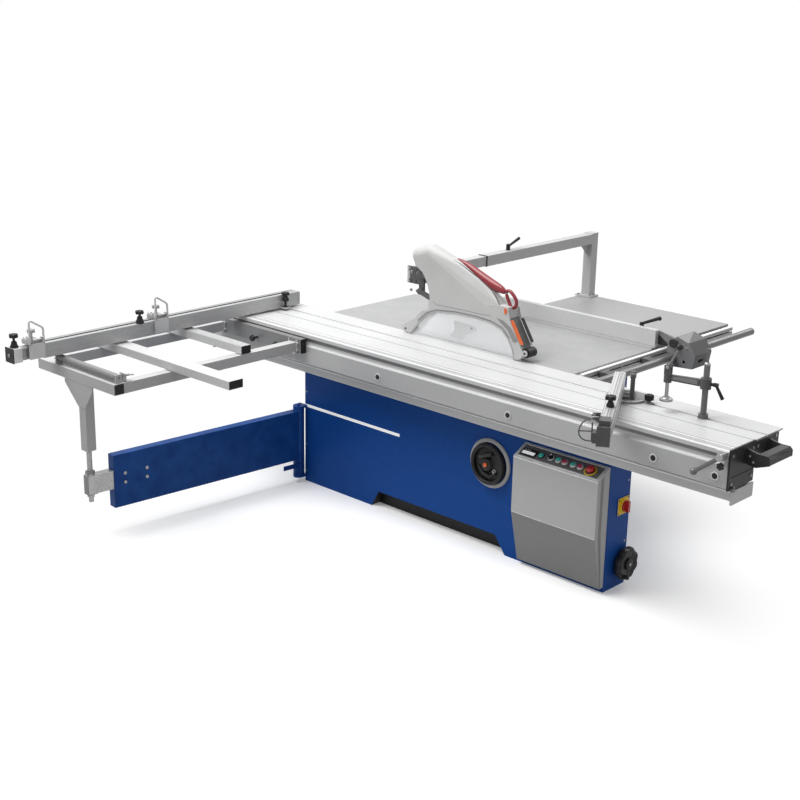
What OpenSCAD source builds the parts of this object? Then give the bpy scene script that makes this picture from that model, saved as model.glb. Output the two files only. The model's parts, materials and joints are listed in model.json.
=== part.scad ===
// Sliding table saw: panel saw with a 3.2 m sliding carriage, outrigger, tilting
// saw unit, overhead blade guard and bar-guided rip fence. Millimetres, +Z up.
// Origin: on the floor below the main blade, in the plane of the blade.
// +X points to the operator's end, +Y to the rip-fence side.

/* [Tables] */
// Height of the table tops above the floor
table_h = 875; // [820:1:900]
// Left end of the main table
main_x0 = -906; // [-1000:1:-880]
// Right end of the main table
main_x1 = 688; // [660:1:760]
// Width of the main table from the blade side
main_w = 634; // [560:1:700]
// Depth of the main table's rim
main_rim = 40; // [30:1:60]
// Thickness of the main table's plate
main_t = 14; // [8:1:20]
// Left end of the extension table
ext_x0 = -261; // [-400:1:-240]
// Width of the extension table
ext_w = 731; // [500:1:900]
// Height of the extension table's folded edge
ext_edge = 57; // [40:1:80]
// Gap between the carriage and the main table
blade_gap = 2; // [1.5:0.5:4]
// Left end of the open notch for the blades
notch_x0 = -300; // [-310:1:-240]
// Right end of the open notch for the blades
notch_x1 = 370; // [345:1:376]
// Distance from the blade plane to the notch edge
notch_y = 5; // [4:0.5:8]

/* [Cabinet] */
// Left end of the cabinet
cab_x0 = -850; // [-900:1:-820]
// Right end of the front beam
beam_x1 = 1101; // [1000:1:1150]
// Front face of the beam
beam_y0 = -268; // [-280:1:-262]
// Depth of the front beam
beam_d = 161; // [140:1:180]
// Height of the front beam
beam_h = 654; // [620:1:670]
// Right end of the saw body behind the beam
body_x1 = 600; // [560:1:640]
// Rear face of the saw body
body_y1 = 560; // [520:1:600]
// Front face of the saw body above the beam
upper_y0 = -48; // [-50:1:-46]
// Sheet thickness
sheet = 3; // [2:0.5:4]
// Thickness of the floor plate
floor_t = 6; // [5:1:10]
// Height of the toe recess
toe_h = 88; // [60:1:110]
// Depth of the toe recess
toe_d = 60; // [40:1:70]
// Radius of the four anchor holes
anchor_r = 7; // [5:0.5:9]
// Radius of the rear dust port
port_r = 60; // [50:1:75]

/* [Sliding carriage] */
// Length of the carriage
carriage_len = 3200; // [3000:10:3400]
// Right end of the carriage at rest
carriage_x1 = 1750; // [1740:1:1770]
// Outer edge of the carriage
carriage_y0 = -429; // [-440:1:-425]
// Inner edge of the carriage, beside the blade
carriage_y1 = -10; // [-14:1:-10]
// Underside of the carriage box
carriage_z0 = 716; // [710:1:730]
// Inner side of the carriage box
box_y1 = -237; // [-245:1:-232]
// Wall of the carriage extrusion
wall = 5; // [4:0.5:6]
// Centre of the T-slot
slot_y = -137; // [-150:1:-125]
// Opening width of the T-slot
slot_w = 16; // [14:1:18]
// Chamber width of the T-slot
slot_cw = 30; // [26:1:34]
// Depth of the T-slot
slot_d = 20; // [18:1:24]
// Lip thickness of the T-slot
slot_lip = 8; // [6:1:10]
// Underside of the base rail
rail_z0 = 654; // [620:1:670]
// Height of the base rail
rail_h = 46; // [40:1:46]
// Outer face of the base rail
rail_y0 = -387; // [-395:1:-380]
// Inner face of the base rail
rail_y1 = -232; // [-240:1:-229]

/* [Saw unit] */
// Diameter of the main blade
blade_d = 315; // [250:1:315]
// Body thickness of the main blade
blade_t = 3.2; // [2.2:0.2:3.6]
// Depth of the blade centre below the table at rest
blade_low = 163; // [163:1:165]
// Radius of the arbor
arbor_r = 15; // [12:0.5:16]
// Diameter of the scoring blade
scorer_d = 120; // [100:1:125]
// Distance of the scoring blade in front of the main blade
scorer_x = 265; // [255:1:275]
// Radius of the rise guide rods
rod_r = 15; // [12:0.5:18]
// Half distance of the rise guide rods
rod_x = 110; // [100:1:120]
// Motor pulley radius
motor_pulley_r = 50; // [40:1:55]
// Arbor pulley radius
arbor_pulley_r = 35; // [30:1:40]
// Radius of the main motor
motor_r = 90; // [75:1:95]
// Length of the main motor
motor_len = 235; // [180:1:260]
// Middle radius of the trunnion arcs
trunnion_r = 130; // [124:1:136]

/* [Fits] */
// Gap between faces that slide
slide_gap = 0.3; // [0.2:0.1:0.5]
// Radial clearance of shafts and pins
run_fit = 0.05; // [0.02:0.01:0.1]
// Depth of a through cut past a face
cut = 1; // [0.5:0.5:2]

/* [Hand controls] */
// Centre of the tilt handwheel along the beam
tilt_wheel_x = 430; // [425:1:445]
// Centre height of the tilt handwheel
tilt_wheel_z = 437; // [420:1:450]
// Radius of the tilt handwheel
tilt_wheel_r = 100; // [85:1:104]
// Radius of the ring round the tilt handwheel
dish_r = 122; // [110:1:130]
// Height of the rise handwheel
rise_wheel_z = 112; // [105:1:130]
// Radius of the rise handwheel
rise_wheel_r = 78; // [60:1:80]
// Radius of the handwheel shafts
shaft_r = 11; // [9:0.5:13]
// Left side of the control console
console_x0 = 630; // [615:1:640]
// Right side of the control console
console_x1 = 1099; // [1085:1:1100]
// Depth of the console
console_d = 87; // [80:1:90]
// Top of the console at the cabinet
console_z1 = 594; // [590:1:615]
// Front edge of the sloped panel
console_z2 = 547; // [540:1:565]
// Fold of the console front
console_z3 = 278; // [270:1:310]
// Radius of the push buttons
button_r = 11; // [9:0.5:12]
// Stroke of the push buttons
button_stroke = 3; // [2:0.5:4]

/* [Rip fence] */
// Face of the rip fence at rest
fence_y = 675; // [640:1:700]
// Left end of the rip fence
fence_x0 = -309; // [-400:1:-250]
// Right end of the rip fence
fence_x1 = 670; // [640:1:680]
// Height of the rip fence
fence_h = 82; // [70:1:95]
// Thickness of the rip fence
fence_t = 28; // [22:1:32]
// Radius of the guide bar
bar_r = 19; // [16:0.5:20]
// Guide bar centre past the table's end
bar_out = 102; // [98:1:110]
// Depth of the guide bar centre below the table
bar_drop = 27; // [24:1:30]
// Start of the guide bar
bar_y0 = 38; // [20:1:50]
// Length of the guide bar
bar_len = 1358; // [1340:1:1380]

/* [Overhead guard] */
// Side of the square boom tube
boom_s = 55; // [50:1:60]
// Wall of the boom tube
boom_wall = 2; // [1.5:0.5:2]
// Left side of the boom and post
boom_x0 = -250; // [-255:1:-245]
// Top of the boom above the table
boom_top = 358; // [350:1:370]
// Front end of the outer boom
boom_y0 = 395; // [380:1:420]
// Front face of the post
post_y0 = 1310; // [1306:1:1316]
// Half width of the guard
guard_hw = 38; // [34:1:38]
// Wall of the guard moulding
guard_wall = 4; // [3:0.5:5]
// Radius of the guard's front roller
front_roller_r = 24; // [20:1:26]
// Radius of the guard's rear roller
rear_roller_r = 21; // [18:1:21]
// Radius of the link pins
pin_r = 8; // [6:0.5:8]

/* [Outrigger] */
// Side of the square outrigger tubes
tube_s = 50; // [40:1:50]
// Wall of the outrigger tubes
tube_wall = 3; // [2:0.5:4]
// Top of the tubes below the table
tube_drop = 43; // [40:1:46]
// Left side of the far tube
far_x0 = -1315; // [-1328:1:-1300]
// Left side of the near tube
near_x0 = -750; // [-760:1:-740]
// Outer side of the end tube
end_y0 = -1564; // [-1580:1:-1550]
// Lower end of the leg above the floor
leg_z0 = 449; // [440:1:470]
// Centre of the leg
leg_x = -970; // [-980:1:-960]
// Radius of the outrigger roller
roller_r = 17; // [14:1:18]
// Height of the swing arm's underside
arm_z0 = 134; // [120:1:140]
// Height of the swing arm's profile
arm_h = 267; // [240:1:270]
// Thickness of the swing arm
arm_t = 50; // [44:1:56]
// Hinge centre of the swing arm along the beam
hinge_x = -862; // [-866:1:-856]
// Radius of the hinge barrel
barrel_r = 30; // [26:1:32]
// Radius of the hinge pin
hinge_pin_r = 10; // [8:0.5:12]

/* [Crosscut fence] */
// Left side of the crosscut fence
cross_x0 = -1200; // [-1205:1:-1190]
// Width of the crosscut fence
cross_w = 70; // [64:1:74]
// Height of the crosscut fence
cross_h = 70; // [60:1:76]
// Underside of the crosscut fence above the table
cross_lift = 10; // [9:1:12]
// Outer end of the crosscut fence
cross_y0 = -1645; // [-1660:1:-1600]
// Inner end of the crosscut fence
cross_y1 = -52; // [-60:1:-50]
// Reach of the fence extension past the fence
extension_out = 153; // [120:1:180]
// Radius of the fence pivot
pivot_r = 12; // [10:0.5:13]
// Place of the inner flip stop
stop_2_y = -980; // [-1000:1:-940]

/* [Miter gauge and clamp] */
// Centre of the miter gauge along the carriage
miter_x = 1070; // [1050:1:1090]
// Radius of the miter base
miter_r = 92; // [84:1:92]
// Angle of the miter fence at rest
miter_a = 30.5; // [20:0.5:40]
// Length of the miter fence outside the pivot
miter_out = 704; // [600:1:720]
// Length of the miter fence inside the pivot
miter_in = 94; // [80:1:95]
// Width of the miter fence
miter_w = 48; // [40:1:50]
// Height of the miter fence
miter_h = 80; // [60:1:84]
// Centre of the hold-down clamp along the carriage
clamp_x = 1450; // [1440:1:1480]
// Radius of the clamp post
clamp_r = 13; // [11:0.5:15]
// Height of the clamp post
clamp_h = 233; // [225:1:260]
// Reach of the clamp arm
clamp_reach = 164; // [150:1:200]

/* [Hidden] */
$fn = 48;

blue = "royalblue";
alu = "gainsboro";
steel = "silver";
grey = "darkgray";
black = "dimgray";

main_y0 = carriage_y1 + blade_gap;
main_y1 = main_y0 + main_w;
body_y0 = beam_y0 + beam_d;
rail_x0 = carriage_x1 - carriage_len;
slot_z = table_h - slot_d;
blade_z = table_h - blade_low;
swing_gap = 12;

// Extrudes a profile drawn as (Y, Z) along X
module along_x(x0, len) translate([x0, 0, 0]) rotate([90, 0, 90]) linear_extrude(len) children();

// Extrudes a profile drawn as (X, Z) along Y
module along_y(y0, len) translate([0, y0 + len, 0]) rotate([90, 0, 0]) linear_extrude(len) children();

// Round bar along X, Y or Z from a point
module bar_x(p, r, len) translate(p) rotate([0, 90, 0]) cylinder(r = r, h = len);
module bar_y(p, r, len) translate(p) rotate([-90, 0, 0]) cylinder(r = r, h = len);
module bar_z(p, r, len) translate(p) cylinder(r = r, h = len);

// Box between two corners
module block(a, b) translate(a) cube(b - a);

// Star grip of a clamp knob, its stem below it
module star_grip(r, h, stem_r, stem_h) {
  lobes = 6;
  translate([0, 0, stem_h]) difference() {
    cylinder(r = r, h = h);
    for (i = [0:lobes - 1]) rotate(i * 360 / lobes) translate([r * 1.12, 0, -cut])
      cylinder(r = r * 0.3, h = h + 2 * cut, $fn = 24);
  }
  cylinder(r = stem_r, h = stem_h + cut);
}

// Cabinet
module cabinet_bush(x, y, z, along) {
  translate([x, y, z]) rotate(along == "y" ? [-90, 0, 0] : [0, 90, 0])
    cylinder(r = shaft_r + 9, h = bush_len);
}
bush_len = 40;
toe_x0 = -300;
toe_x1 = 470;
zone_x0 = -410;
zone_x1 = 470;
wheel_y = -139;
switch_z = 388;

module toe_form(grow, y1) along_y(beam_y0 - cut, y1 - beam_y0 + cut)
  polygon([[toe_x0 - 50 - grow, -cut], [toe_x0 - grow, toe_h + grow],
    [toe_x1 + grow, toe_h + grow], [toe_x1 + 66 + grow, -cut]]);

module cabinet_shell() difference() {
  union() {
    block([cab_x0, beam_y0, 0], [beam_x1, body_y0, beam_h]);
    block([cab_x0, body_y0 - cut, 0], [body_x1, body_y1, beam_h]);
    block([cab_x0, upper_y0, beam_h - cut], [body_x1, body_y1, table_h - main_rim]);
  }
  block([cab_x0 + sheet, beam_y0 + sheet, floor_t], [beam_x1 - sheet, body_y0 - sheet, beam_h - sheet]);
  block([cab_x0 + sheet, beam_y0 + sheet, floor_t], [body_x1 - sheet, body_y1 - sheet, beam_h - sheet]);
  block([cab_x0 + sheet, upper_y0 + sheet, floor_t], [body_x1 - sheet, body_y1 - sheet, table_h]);
  block([zone_x0, rail_y1, beam_h - 2 * sheet], [zone_x1, upper_y0 + 2 * sheet, table_h]);
}

module cabinet() color(blue) {
  difference() {
    union() {
      cabinet_shell();
      intersection() {
        toe_form(sheet, beam_y0 + toe_d + sheet);
        block([cab_x0, beam_y0, 0], [beam_x1, body_y0, beam_h]);
      }
      cabinet_bush(tilt_wheel_x, beam_y0 + sheet - cut, tilt_wheel_z, "y");
      cabinet_bush(beam_x1 - sheet - bush_len + cut, wheel_y, rise_wheel_z, "x");
      // Ring round the tilt handwheel
      translate([tilt_wheel_x, beam_y0, tilt_wheel_z]) rotate([90, 0, 0]) rotate_extrude($fn = 96)
        polygon([[tilt_wheel_r + 8, -cut], [dish_r, -cut], [dish_r, 4], [dish_r - 6, 9],
          [tilt_wheel_r + 14, 9], [tilt_wheel_r + 8, 3]]);
      // Plate of the main switch
      block([beam_x1 - cut, wheel_y - 62, switch_z - 42], [beam_x1 + 3, wheel_y + 26, switch_z + 42]);
      // Collar of the rear dust port
      bar_y([port_x, body_y1 - cut, port_z], port_r, 40 + cut);
      hinge_lugs();
    }
    toe_form(0, beam_y0 + toe_d);
    bar_y([tilt_wheel_x, beam_y0 - cut, tilt_wheel_z], shaft_r + run_fit, bush_len + sheet + 2 * cut);
    bar_x([beam_x1 - sheet - bush_len, wheel_y, rise_wheel_z], shaft_r + run_fit, bush_len + sheet + 2 * cut);
    bar_x([beam_x1 - sheet - cut, wheel_y - 15, switch_z], switch_r + run_fit, sheet + 5 + cut);
    bar_y([port_x, body_y1 - sheet - cut, port_z], port_r - sheet, 40 + sheet + 2 * cut);
    for (x = [cab_x0 + anchor_in, body_x1 - anchor_in], y = [beam_y0 + anchor_in, body_y1 - anchor_in])
      bar_z([x, y, -cut], anchor_r, floor_t + 2 * cut);
  }
}
anchor_in = 90;
port_x = -500;
port_z = 200;
switch_r = 9;

// Lugs and pin of the swing arm's hinge
hinge_y = beam_y0 - barrel_r - 6;
hinge_z0 = 41;
hinge_z1 = 415;
lug_t = 12;
module hinge_lugs() {
  for (z = [hinge_z0 - lug_t - slide_gap, hinge_z1 + slide_gap]) {
    block([hinge_x - barrel_r, hinge_y, z], [hinge_x + barrel_r, beam_y0 + cut, z + lug_t]);
    bar_z([hinge_x, hinge_y, z], barrel_r, lug_t);
  }
  bar_z([hinge_x, hinge_y, hinge_z0 - lug_t - 8], hinge_pin_r, hinge_z1 - hinge_z0 + 2 * lug_t + 16);
}

// Base rail and sliding carriage
guide_r = 6;
guide_ys = [rail_y0 + 22, rail_y1 - 40];
rail_top = rail_z0 + rail_h;
module base_rail() color(alu) {
  difference() {
    along_x(rail_x0, carriage_len) difference() {
      polygon([[rail_y0, rail_z0 + 4], [rail_y0 + 4, rail_z0], [rail_y1, rail_z0],
        [rail_y1, rail_top - 12], [rail_y1 - 12, rail_top], [rail_y0 + 5, rail_top],
        [rail_y0, rail_top - 5]]);
      translate([rail_y0 + wall, rail_z0 + wall]) square([60, rail_h - 4 * wall + 6]);
      translate([rail_y0 + 2 * wall + 60, rail_z0 + wall])
        square([rail_y1 - rail_y0 - 3 * wall - 60, rail_h - 4 * wall + 6]);
    }
    for (y = guide_ys) bar_x([rail_x0 - cut, y, rail_top], guide_r, carriage_len + 2 * cut);
  }
  for (x = [rail_x0 - 8, carriage_x1]) block([x, rail_y0 - 4, rail_z0 - 14], [x + 8, rail_y1 + 4, rail_top]);
  // Hardened guide rods
  for (y = guide_ys) bar_x([rail_x0, y, rail_top], guide_r, carriage_len);
}

lip_t = 6;
strut_z = 768;
channel_z = 833;
module carriage_profile() {
  difference() {
    polygon([[carriage_y1, table_h], [carriage_y0 + 3, table_h], [carriage_y0, table_h - 3],
      [carriage_y0, carriage_z0 + 6], [carriage_y0 + 6, carriage_z0], [box_y1, carriage_z0],
      [box_y1, strut_z], [carriage_y1 - 52, table_h - lip_t - 3], [carriage_y1, table_h - lip_t]]);
    // Concave channel in the outer side
    translate([carriage_y0 - 8, channel_z]) circle(r = 24);
    // Ribs of the top edge
    for (i = [0:3]) translate([carriage_y0 + 14 + i * 9, table_h]) circle(r = 1.5, $fn = 16);
    for (y = [carriage_y0 + 60, carriage_y0 + 196]) translate([y, table_h]) circle(r = 2.5, $fn = 16);
    // Chambers of the box
    translate([carriage_y0 + wall, carriage_z0 + wall])
      square([box_y1 - carriage_y0 - 2 * wall, channel_z - carriage_z0 - 24 - 2 * wall]);
    polygon([[carriage_y0 + 26, channel_z - 19], [carriage_y0 + 26, table_h - 2 * wall],
      [box_y1 - 6, table_h - 2 * wall], [box_y1 - 6, channel_z - 19]]);
    // Chamber between the top plate and the slanted strut
    polygon([[box_y1 + 4, table_h - 2 * wall], [box_y1 + 4, strut_z + 12],
      [slot_y - slot_cw / 2 - wall, slot_z - 24], [slot_y - slot_cw / 2 - wall, table_h - 2 * wall]]);
    t_slot();
  }
  // Feet over the guide rods
  for (y = guide_ys) translate([y, 0]) polygon([[-9, carriage_z0 + cut], [-5, rail_top + guide_r + slide_gap],
    [5, rail_top + guide_r + slide_gap], [9, carriage_z0 + cut]]);
}

module t_slot() translate([slot_y, 0]) {
  translate([-slot_w / 2, slot_z]) square([slot_w, slot_d + cut]);
  translate([-slot_cw / 2, slot_z]) square([slot_cw, slot_d - slot_lip]);
}

// Sliding block that fits the T-slot
module t_block(x, len) along_x(x - len / 2, len) translate([slot_y, 0]) {
  translate([-slot_w / 2 + slide_gap, slot_z + slide_gap]) square([slot_w - 2 * slide_gap, slot_d + cut]);
  translate([-slot_cw / 2 + slide_gap, slot_z + slide_gap])
    square([slot_cw - 2 * slide_gap, slot_d - slot_lip - 2 * slide_gap]);
}

plug_xs = [-160, 647, 1410, 1697];
plug_r = 13;
module carriage() color(alu) {
  difference() {
    along_x(rail_x0, carriage_len) carriage_profile();
    for (x = plug_xs) bar_y([x, carriage_y0 - cut, plug_z], plug_r, wall + 2 * cut);
  }
  // Bracket, pin and clamp knob of the lock lever
  along_y(carriage_y0 - 7, 8) polygon([[carriage_x1 - 60, table_h - 4], [carriage_x1 - 1, table_h - 4],
    [carriage_x1 - 1, table_h - 78]]);
  bar_y([lever_piv_x, carriage_y0 - 52, lever_piv_z], lever_pin_r, 50);
  bar_y([carriage_x1 - 12, carriage_y0 - 30, table_h - 56], 8, 24);
}
plug_z = 760;

// Main table: plate with a rim and ribs below
module main_table() color(steel) {
  rib_xs = [main_x0, -640, zone_x0 - 10, zone_x1, main_x1 - 8];
  difference() {
    block([main_x0, main_y0, table_h - main_rim], [main_x1, main_y1, table_h]);
    block([notch_x0, main_y0 - cut, table_h - main_rim - cut], [notch_x1, notch_y, table_h + cut]);
    for (i = [0:3], y = [main_y0 + 8, 310])
      block([rib_xs[i] + 8, y, table_h - main_rim - cut],
        [rib_xs[i + 1], y == 310 ? main_y1 - 8 : 302, table_h - main_t]);
    block([zone_x0 - 2, main_y0 - cut, table_h - main_rim - cut], [zone_x1, 302, table_h - main_t]);
  }
}

arm_xs = [-180, 470];
module extension_table() color(steel) {
  difference() {
    block([ext_x0, main_y1, table_h - ext_edge], [main_x1 - 11, main_y1 + ext_w, table_h]);
    block([ext_x0 + sheet, main_y1 + sheet, table_h - ext_edge - cut],
      [main_x1 - 11 - sheet, main_y1 + ext_w - sheet, table_h - sheet]);
  }
  // Support arms bolted to the saw body
  for (x = arm_xs) difference() {
    block([x, body_y1, table_h - ext_edge - 40], [x + 50, main_y1 + ext_w - 90, table_h - ext_edge]);
    block([x + sheet, body_y1 - cut, table_h - ext_edge - 40 + sheet],
      [x + 50 - sheet, main_y1 + ext_w - 90 + cut, table_h - ext_edge - sheet]);
  }
}

// Guide of the rip fence
bar_x0 = main_x1 + bar_out;
bar_z0 = table_h - bar_drop;
rail_len = 1348;
bracket_ys = [171, 516];
neck_h = 26;
module rip_rail() color(alu) {
  along_y(main_y0, rail_len) difference() {
    translate([main_x1, table_h - 47]) square([26, 38]);
    translate([main_x1 + 8, table_h - 34]) square([12, 12]);
    translate([main_x1 + 8, table_h - 31]) square([19, 6]);
  }
  for (y = [800, 1230]) block([main_x1 - 11, y, table_h - 44], [main_x1 + cut, y + 40, table_h - 20]);
  for (y = bracket_ys) difference() {
    block([main_x1 + 26, y - 25, bar_z0 - neck_h / 2], [bar_x0, y + 25, bar_z0 + neck_h / 2]);
    bar_y([bar_x0, y - 26, bar_z0], bar_r, 52);
  }
}
module rip_bar() color(grey) bar_y([bar_x0, bar_y0, bar_z0], bar_r, bar_len);

carrier_len = 150;
carrier_y = fence_y - 13;
flange_y = fence_y + fence_t + slide_gap;
module rip_carrier() color(grey) {
  x0 = bar_x0 - 40;
  x1 = bar_x0 + 120;
  difference() {
    along_y(carrier_y, carrier_len) polygon([[x0, bar_z0 - 30], [x0, bar_z0 + 52], [x0 + 52, bar_z0 + 107],
      [x1 - 40, bar_z0 + 85], [x1, bar_z0 + 30], [x1 - 12, bar_z0 - 40], [x0 + 24, bar_z0 - 48]]);
    bar_y([bar_x0, carrier_y - cut, bar_z0], bar_r + 2 * run_fit, carrier_len + 2 * cut);
    block([x0 - cut, carrier_y - cut, bar_z0 - neck_h / 2 - 4],
      [bar_x0, carrier_y + carrier_len + cut, bar_z0 + neck_h / 2 + 4]);
    block([x1 - 30, carrier_y + 40, bar_z0 - 14], [x1 + cut, carrier_y + 90, bar_z0 + 2]);
    bar_y([bar_x0 + 60, carrier_y - cut, bar_z0 - 12], 8, 60);
  }
  // Flange behind the fence
  along_y(flange_y, 24) polygon([[fence_x1 - 130, table_h + 6], [fence_x1 - 130, table_h + 72],
    [fence_x1 - 20, table_h + 72], [x0 + 30, table_h + 50], [x0 + 30, table_h + 6]]);
  bar_x([fence_x1 + 16, flange_y + 36, table_h + 38], 16, 36);
}

module rip_fence() color(alu) {
  along_x(fence_x0, fence_x1 - fence_x0) difference() {
    translate([fence_y, table_h + slide_gap]) square([fence_t, fence_h]);
    translate([fence_y + 4, table_h + 8]) square([fence_t - 8, 24]);
    translate([fence_y + 4, table_h + 54]) square([fence_t - 8, 24]);
    translate([fence_y + fence_t - 10, table_h + 40]) square([11, 8]);
  }
}

lever_stud_x = 560;
lever_z = table_h + 72 + slide_gap;
module rip_lever() color(black) {
  translate([lever_stud_x, flange_y + 12, lever_z]) {
    cylinder(r = 11, h = 24);
    translate([0, 0, 18]) rotate([0, 66, 0]) cylinder(r1 = 7, r2 = 9, h = 108);
  }
}

// Overhead guard: post, boom and telescope
boom_z1 = table_h + boom_top;
inner_s = boom_s - 2 * boom_wall - 1;
boom_end = post_y0 + boom_s;
module guard_column() color(grey) {
  post_z1 = boom_z1 + 3;
  difference() {
    union() {
      block([boom_x0, post_y0, table_h + 8 - cut], [boom_x0 + boom_s, boom_end, boom_z1]);
      block([boom_x0, boom_y0, boom_z1 - boom_s], [boom_x0 + boom_s, post_y0 + cut, boom_z1]);
      block([boom_x0 - 25, post_y0 - 25, table_h], [boom_x0 + boom_s + 25, boom_end + 2, table_h + 8]);
    }
    block([boom_x0 + boom_wall, post_y0 + boom_wall, table_h + 8],
      [boom_x0 + boom_s - boom_wall, boom_end - boom_wall, boom_z1 - boom_s - boom_wall]);
    block([boom_x0 + boom_wall, boom_y0 - cut, boom_z1 - boom_s + boom_wall],
      [boom_x0 + boom_s - boom_wall, post_y0 + boom_wall, boom_z1 - boom_wall]);
    bar_z([boom_x0 + boom_s / 2, boom_lever_y, boom_z1 - boom_wall - cut], 6 + run_fit, boom_wall + 2 * cut);
    for (x = [boom_x0 - 12, boom_x0 + boom_s + 12], y = [post_y0 - 12, post_y0 + 30])
      bar_z([x, y, table_h - cut], 5, 8 + 2 * cut);
  }
  // Gusset in the corner
  along_x(boom_x0 + boom_s / 2 - 3, 6) polygon([[post_y0, boom_z1 - boom_s], [post_y0 - 70, boom_z1 - boom_s],
    [post_y0, boom_z1 - boom_s - 70]]);
  block([boom_x0 - 2, post_y0 - 2, boom_z1], [boom_x0 + boom_s + 2, boom_end + 2, post_z1]);
}
boom_lever_y = 600;

module boom_lever() color(black) translate([boom_x0 + boom_s / 2, boom_lever_y, boom_z1 + slide_gap]) {
  cylinder(r = 11, h = 28);
  translate([0, 0, -boom_wall - slide_gap]) cylinder(r = 6, h = boom_wall + cut);
  translate([0, 0, 20]) rotate([-70, 0, 0]) cylinder(r1 = 6, r2 = 8, h = 95);
}

link_ax = -275;
link_az = table_h + 315;
link_dz = 92;
link_x = 155;
link_z = -45;
plate_y = -6;
module boom_inner() color(grey) {
  x0 = boom_x0 + (boom_s - inner_s) / 2;
  z0 = boom_z1 - (boom_s + inner_s) / 2;
  y1 = guard_hw + swing_gap;
  difference() {
    block([x0, y1, z0], [x0 + inner_s, 950, z0 + inner_s]);
    block([x0 + 3, y1 + 12, z0 + 3], [x0 + inner_s - 3, 950 + cut, z0 + inner_s - 3]);
  }
  block([link_ax - 100, y1, table_h + 250], [x0 + 1, y1 + 12, table_h + 350]);
  block([link_ax - 100, plate_y, table_h + 252], [link_ax + 12, plate_y + 12, table_h + 338]);
  block([link_ax - 60, plate_y + 11, table_h + 275], [link_ax + 12, y1 + cut, table_h + 338]);
  block([link_ax - 20, plate_y, table_h + 202], [link_ax + 12, plate_y + 12, table_h + 253]);
  for (z = [link_az, link_az - link_dz]) bar_y([link_ax, plate_y - 22, z], pin_r, 23);
  for (x = [-78, -44], z = [6, -46]) bar_y([link_ax + x, plate_y - 6, link_az + z], 7, 7);
}

module link(z) translate([link_ax, plate_y - 20, z]) rotate([-90, 0, 0]) linear_extrude(14) difference() {
  union() {
    circle(r = 16);
    translate([link_x, -link_z]) circle(r = 16);
    polygon([[3, -11], [link_x + 3, -link_z - 11], [link_x - 3, -link_z + 11], [-3, 11]]);
  }
  circle(r = pin_r + run_fit);
  translate([link_x, -link_z]) circle(r = pin_r + run_fit);
}
module upper_link() color(black) link(link_az);
module lower_link() color(black) link(link_az - link_dz);

// Guard moulding: fin-shaped hood over two arched side frames
module hood(inset) {
  hw = guard_hw - inset;
  hull() {
    for (p = [[-285, 403, 46], [-212, 424, 46], [-120, 408, 34], [-20, 382, 30], [95, 335, 26], [180, 290, 22]])
      translate([p[0], 0, table_h + p[1]]) sphere(r = p[2] - inset * 0.9, $fn = 32);
    block([-178 + inset, -hw, table_h + 160 + inset * 3], [230 - inset, hw, table_h + 200]);
    block([215 - inset, -hw * 0.8, table_h + 196], [250 - inset, hw * 0.8, table_h + 245 - inset]);
  }
}

module hood_notch() along_y(-guard_hw - 20, 2 * guard_hw + 40)
  polygon([[-400, table_h + 330], [-318, table_h + 352], [-282, table_h + 356], [-240, table_h + 330],
    [-212, table_h + 292], [-195, table_h + 240], [-190, table_h + 205], [-197, table_h + 150], [-400, table_h + 150]]);

arch_pts = [[-318, 4], [-301, 15], [-254, 72], [-202, 118], [-142, 142], [-18, 155], [111, 158],
  [205, 152], [268, 135], [313, 96], [343, 44], [352, 4]];
module side_frame() difference() {
  union() {
    translate([0, table_h]) polygon([[-197, 190], [-197, 148], [-243, 131], [-303, 74], [-352, 48], [-376, 30],
      [-342, 3], [-318, 4], [352, 4], [392, 12], [412, 40], [398, 62], [322, 186], [308, 248], [238, 248]]);
    translate([rear_roller_x, table_h + 24]) circle(r = 20);
    translate([front_roller_x, table_h + front_roller_z]) circle(r = 15);
  }
  translate([0, table_h]) polygon(arch_pts);
}

outlet_x = -284;
outlet_z = table_h + 405;
outlet_r = 40;
link_slot_x = -230;
front_roller_x = 418;
front_roller_z = 46;
rear_roller_x = -350;
module guard_shell() color("whitesmoke") difference() {
  union() {
    difference() {
      hood(0);
      hood(guard_wall);
      block([-260, -guard_hw + guard_wall, table_h + 140], [228, guard_hw - guard_wall, table_h + 190]);
      hood_notch();
    }
    for (y = [-guard_hw, guard_hw - guard_wall]) along_y(y, guard_wall) side_frame();
    // Front box between the side frames
    along_y(-guard_hw, 2 * guard_hw) difference() {
      polygon([[244, table_h + 190], [318, table_h + 190], [308, table_h + 248], [244, table_h + 248]]);
      polygon([[254, table_h + 180], [308, table_h + 180], [300, table_h + 240], [254, table_h + 240]]);
    }
    // Pins of the links and rollers
    for (z = [link_az, link_az - link_dz])
      bar_y([link_ax + link_x, -guard_hw + guard_wall - cut, z + link_z], pin_r, guard_hw - guard_wall - 4 + cut);
    bar_y([rear_roller_x, -guard_hw, table_h + rear_roller_r + 1], 5, 2 * guard_hw);
    // Dust outlet on the far side with its collar
    bar_y([outlet_x, guard_hw - 10, outlet_z], outlet_r + 3, 22);
    bar_y([outlet_x, guard_hw + 11, outlet_z], outlet_r, 31);
  }
  // Slot for the two links
  block([link_slot_x, plate_y - 25, table_h + 120], [link_slot_x + 80, plate_y - 2, table_h + 330]);
  bar_y([outlet_x, 0, outlet_z], outlet_r - 4, 100);
  bar_y([front_roller_x, -guard_hw - cut, table_h + front_roller_z], 5 + run_fit, 2 * guard_hw + 2 * cut);
}

module guard_window() color("lightcyan", 0.4) for (y = [-guard_hw + guard_wall, guard_hw - guard_wall - 3])
  along_y(y, 3) translate([0, table_h]) polygon([[-318, 2], [-262, 78], [-206, 128], [-142, 152], [-18, 164],
    [111, 167], [208, 162], [276, 142], [320, 102], [352, 46], [360, 2]]);

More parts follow.
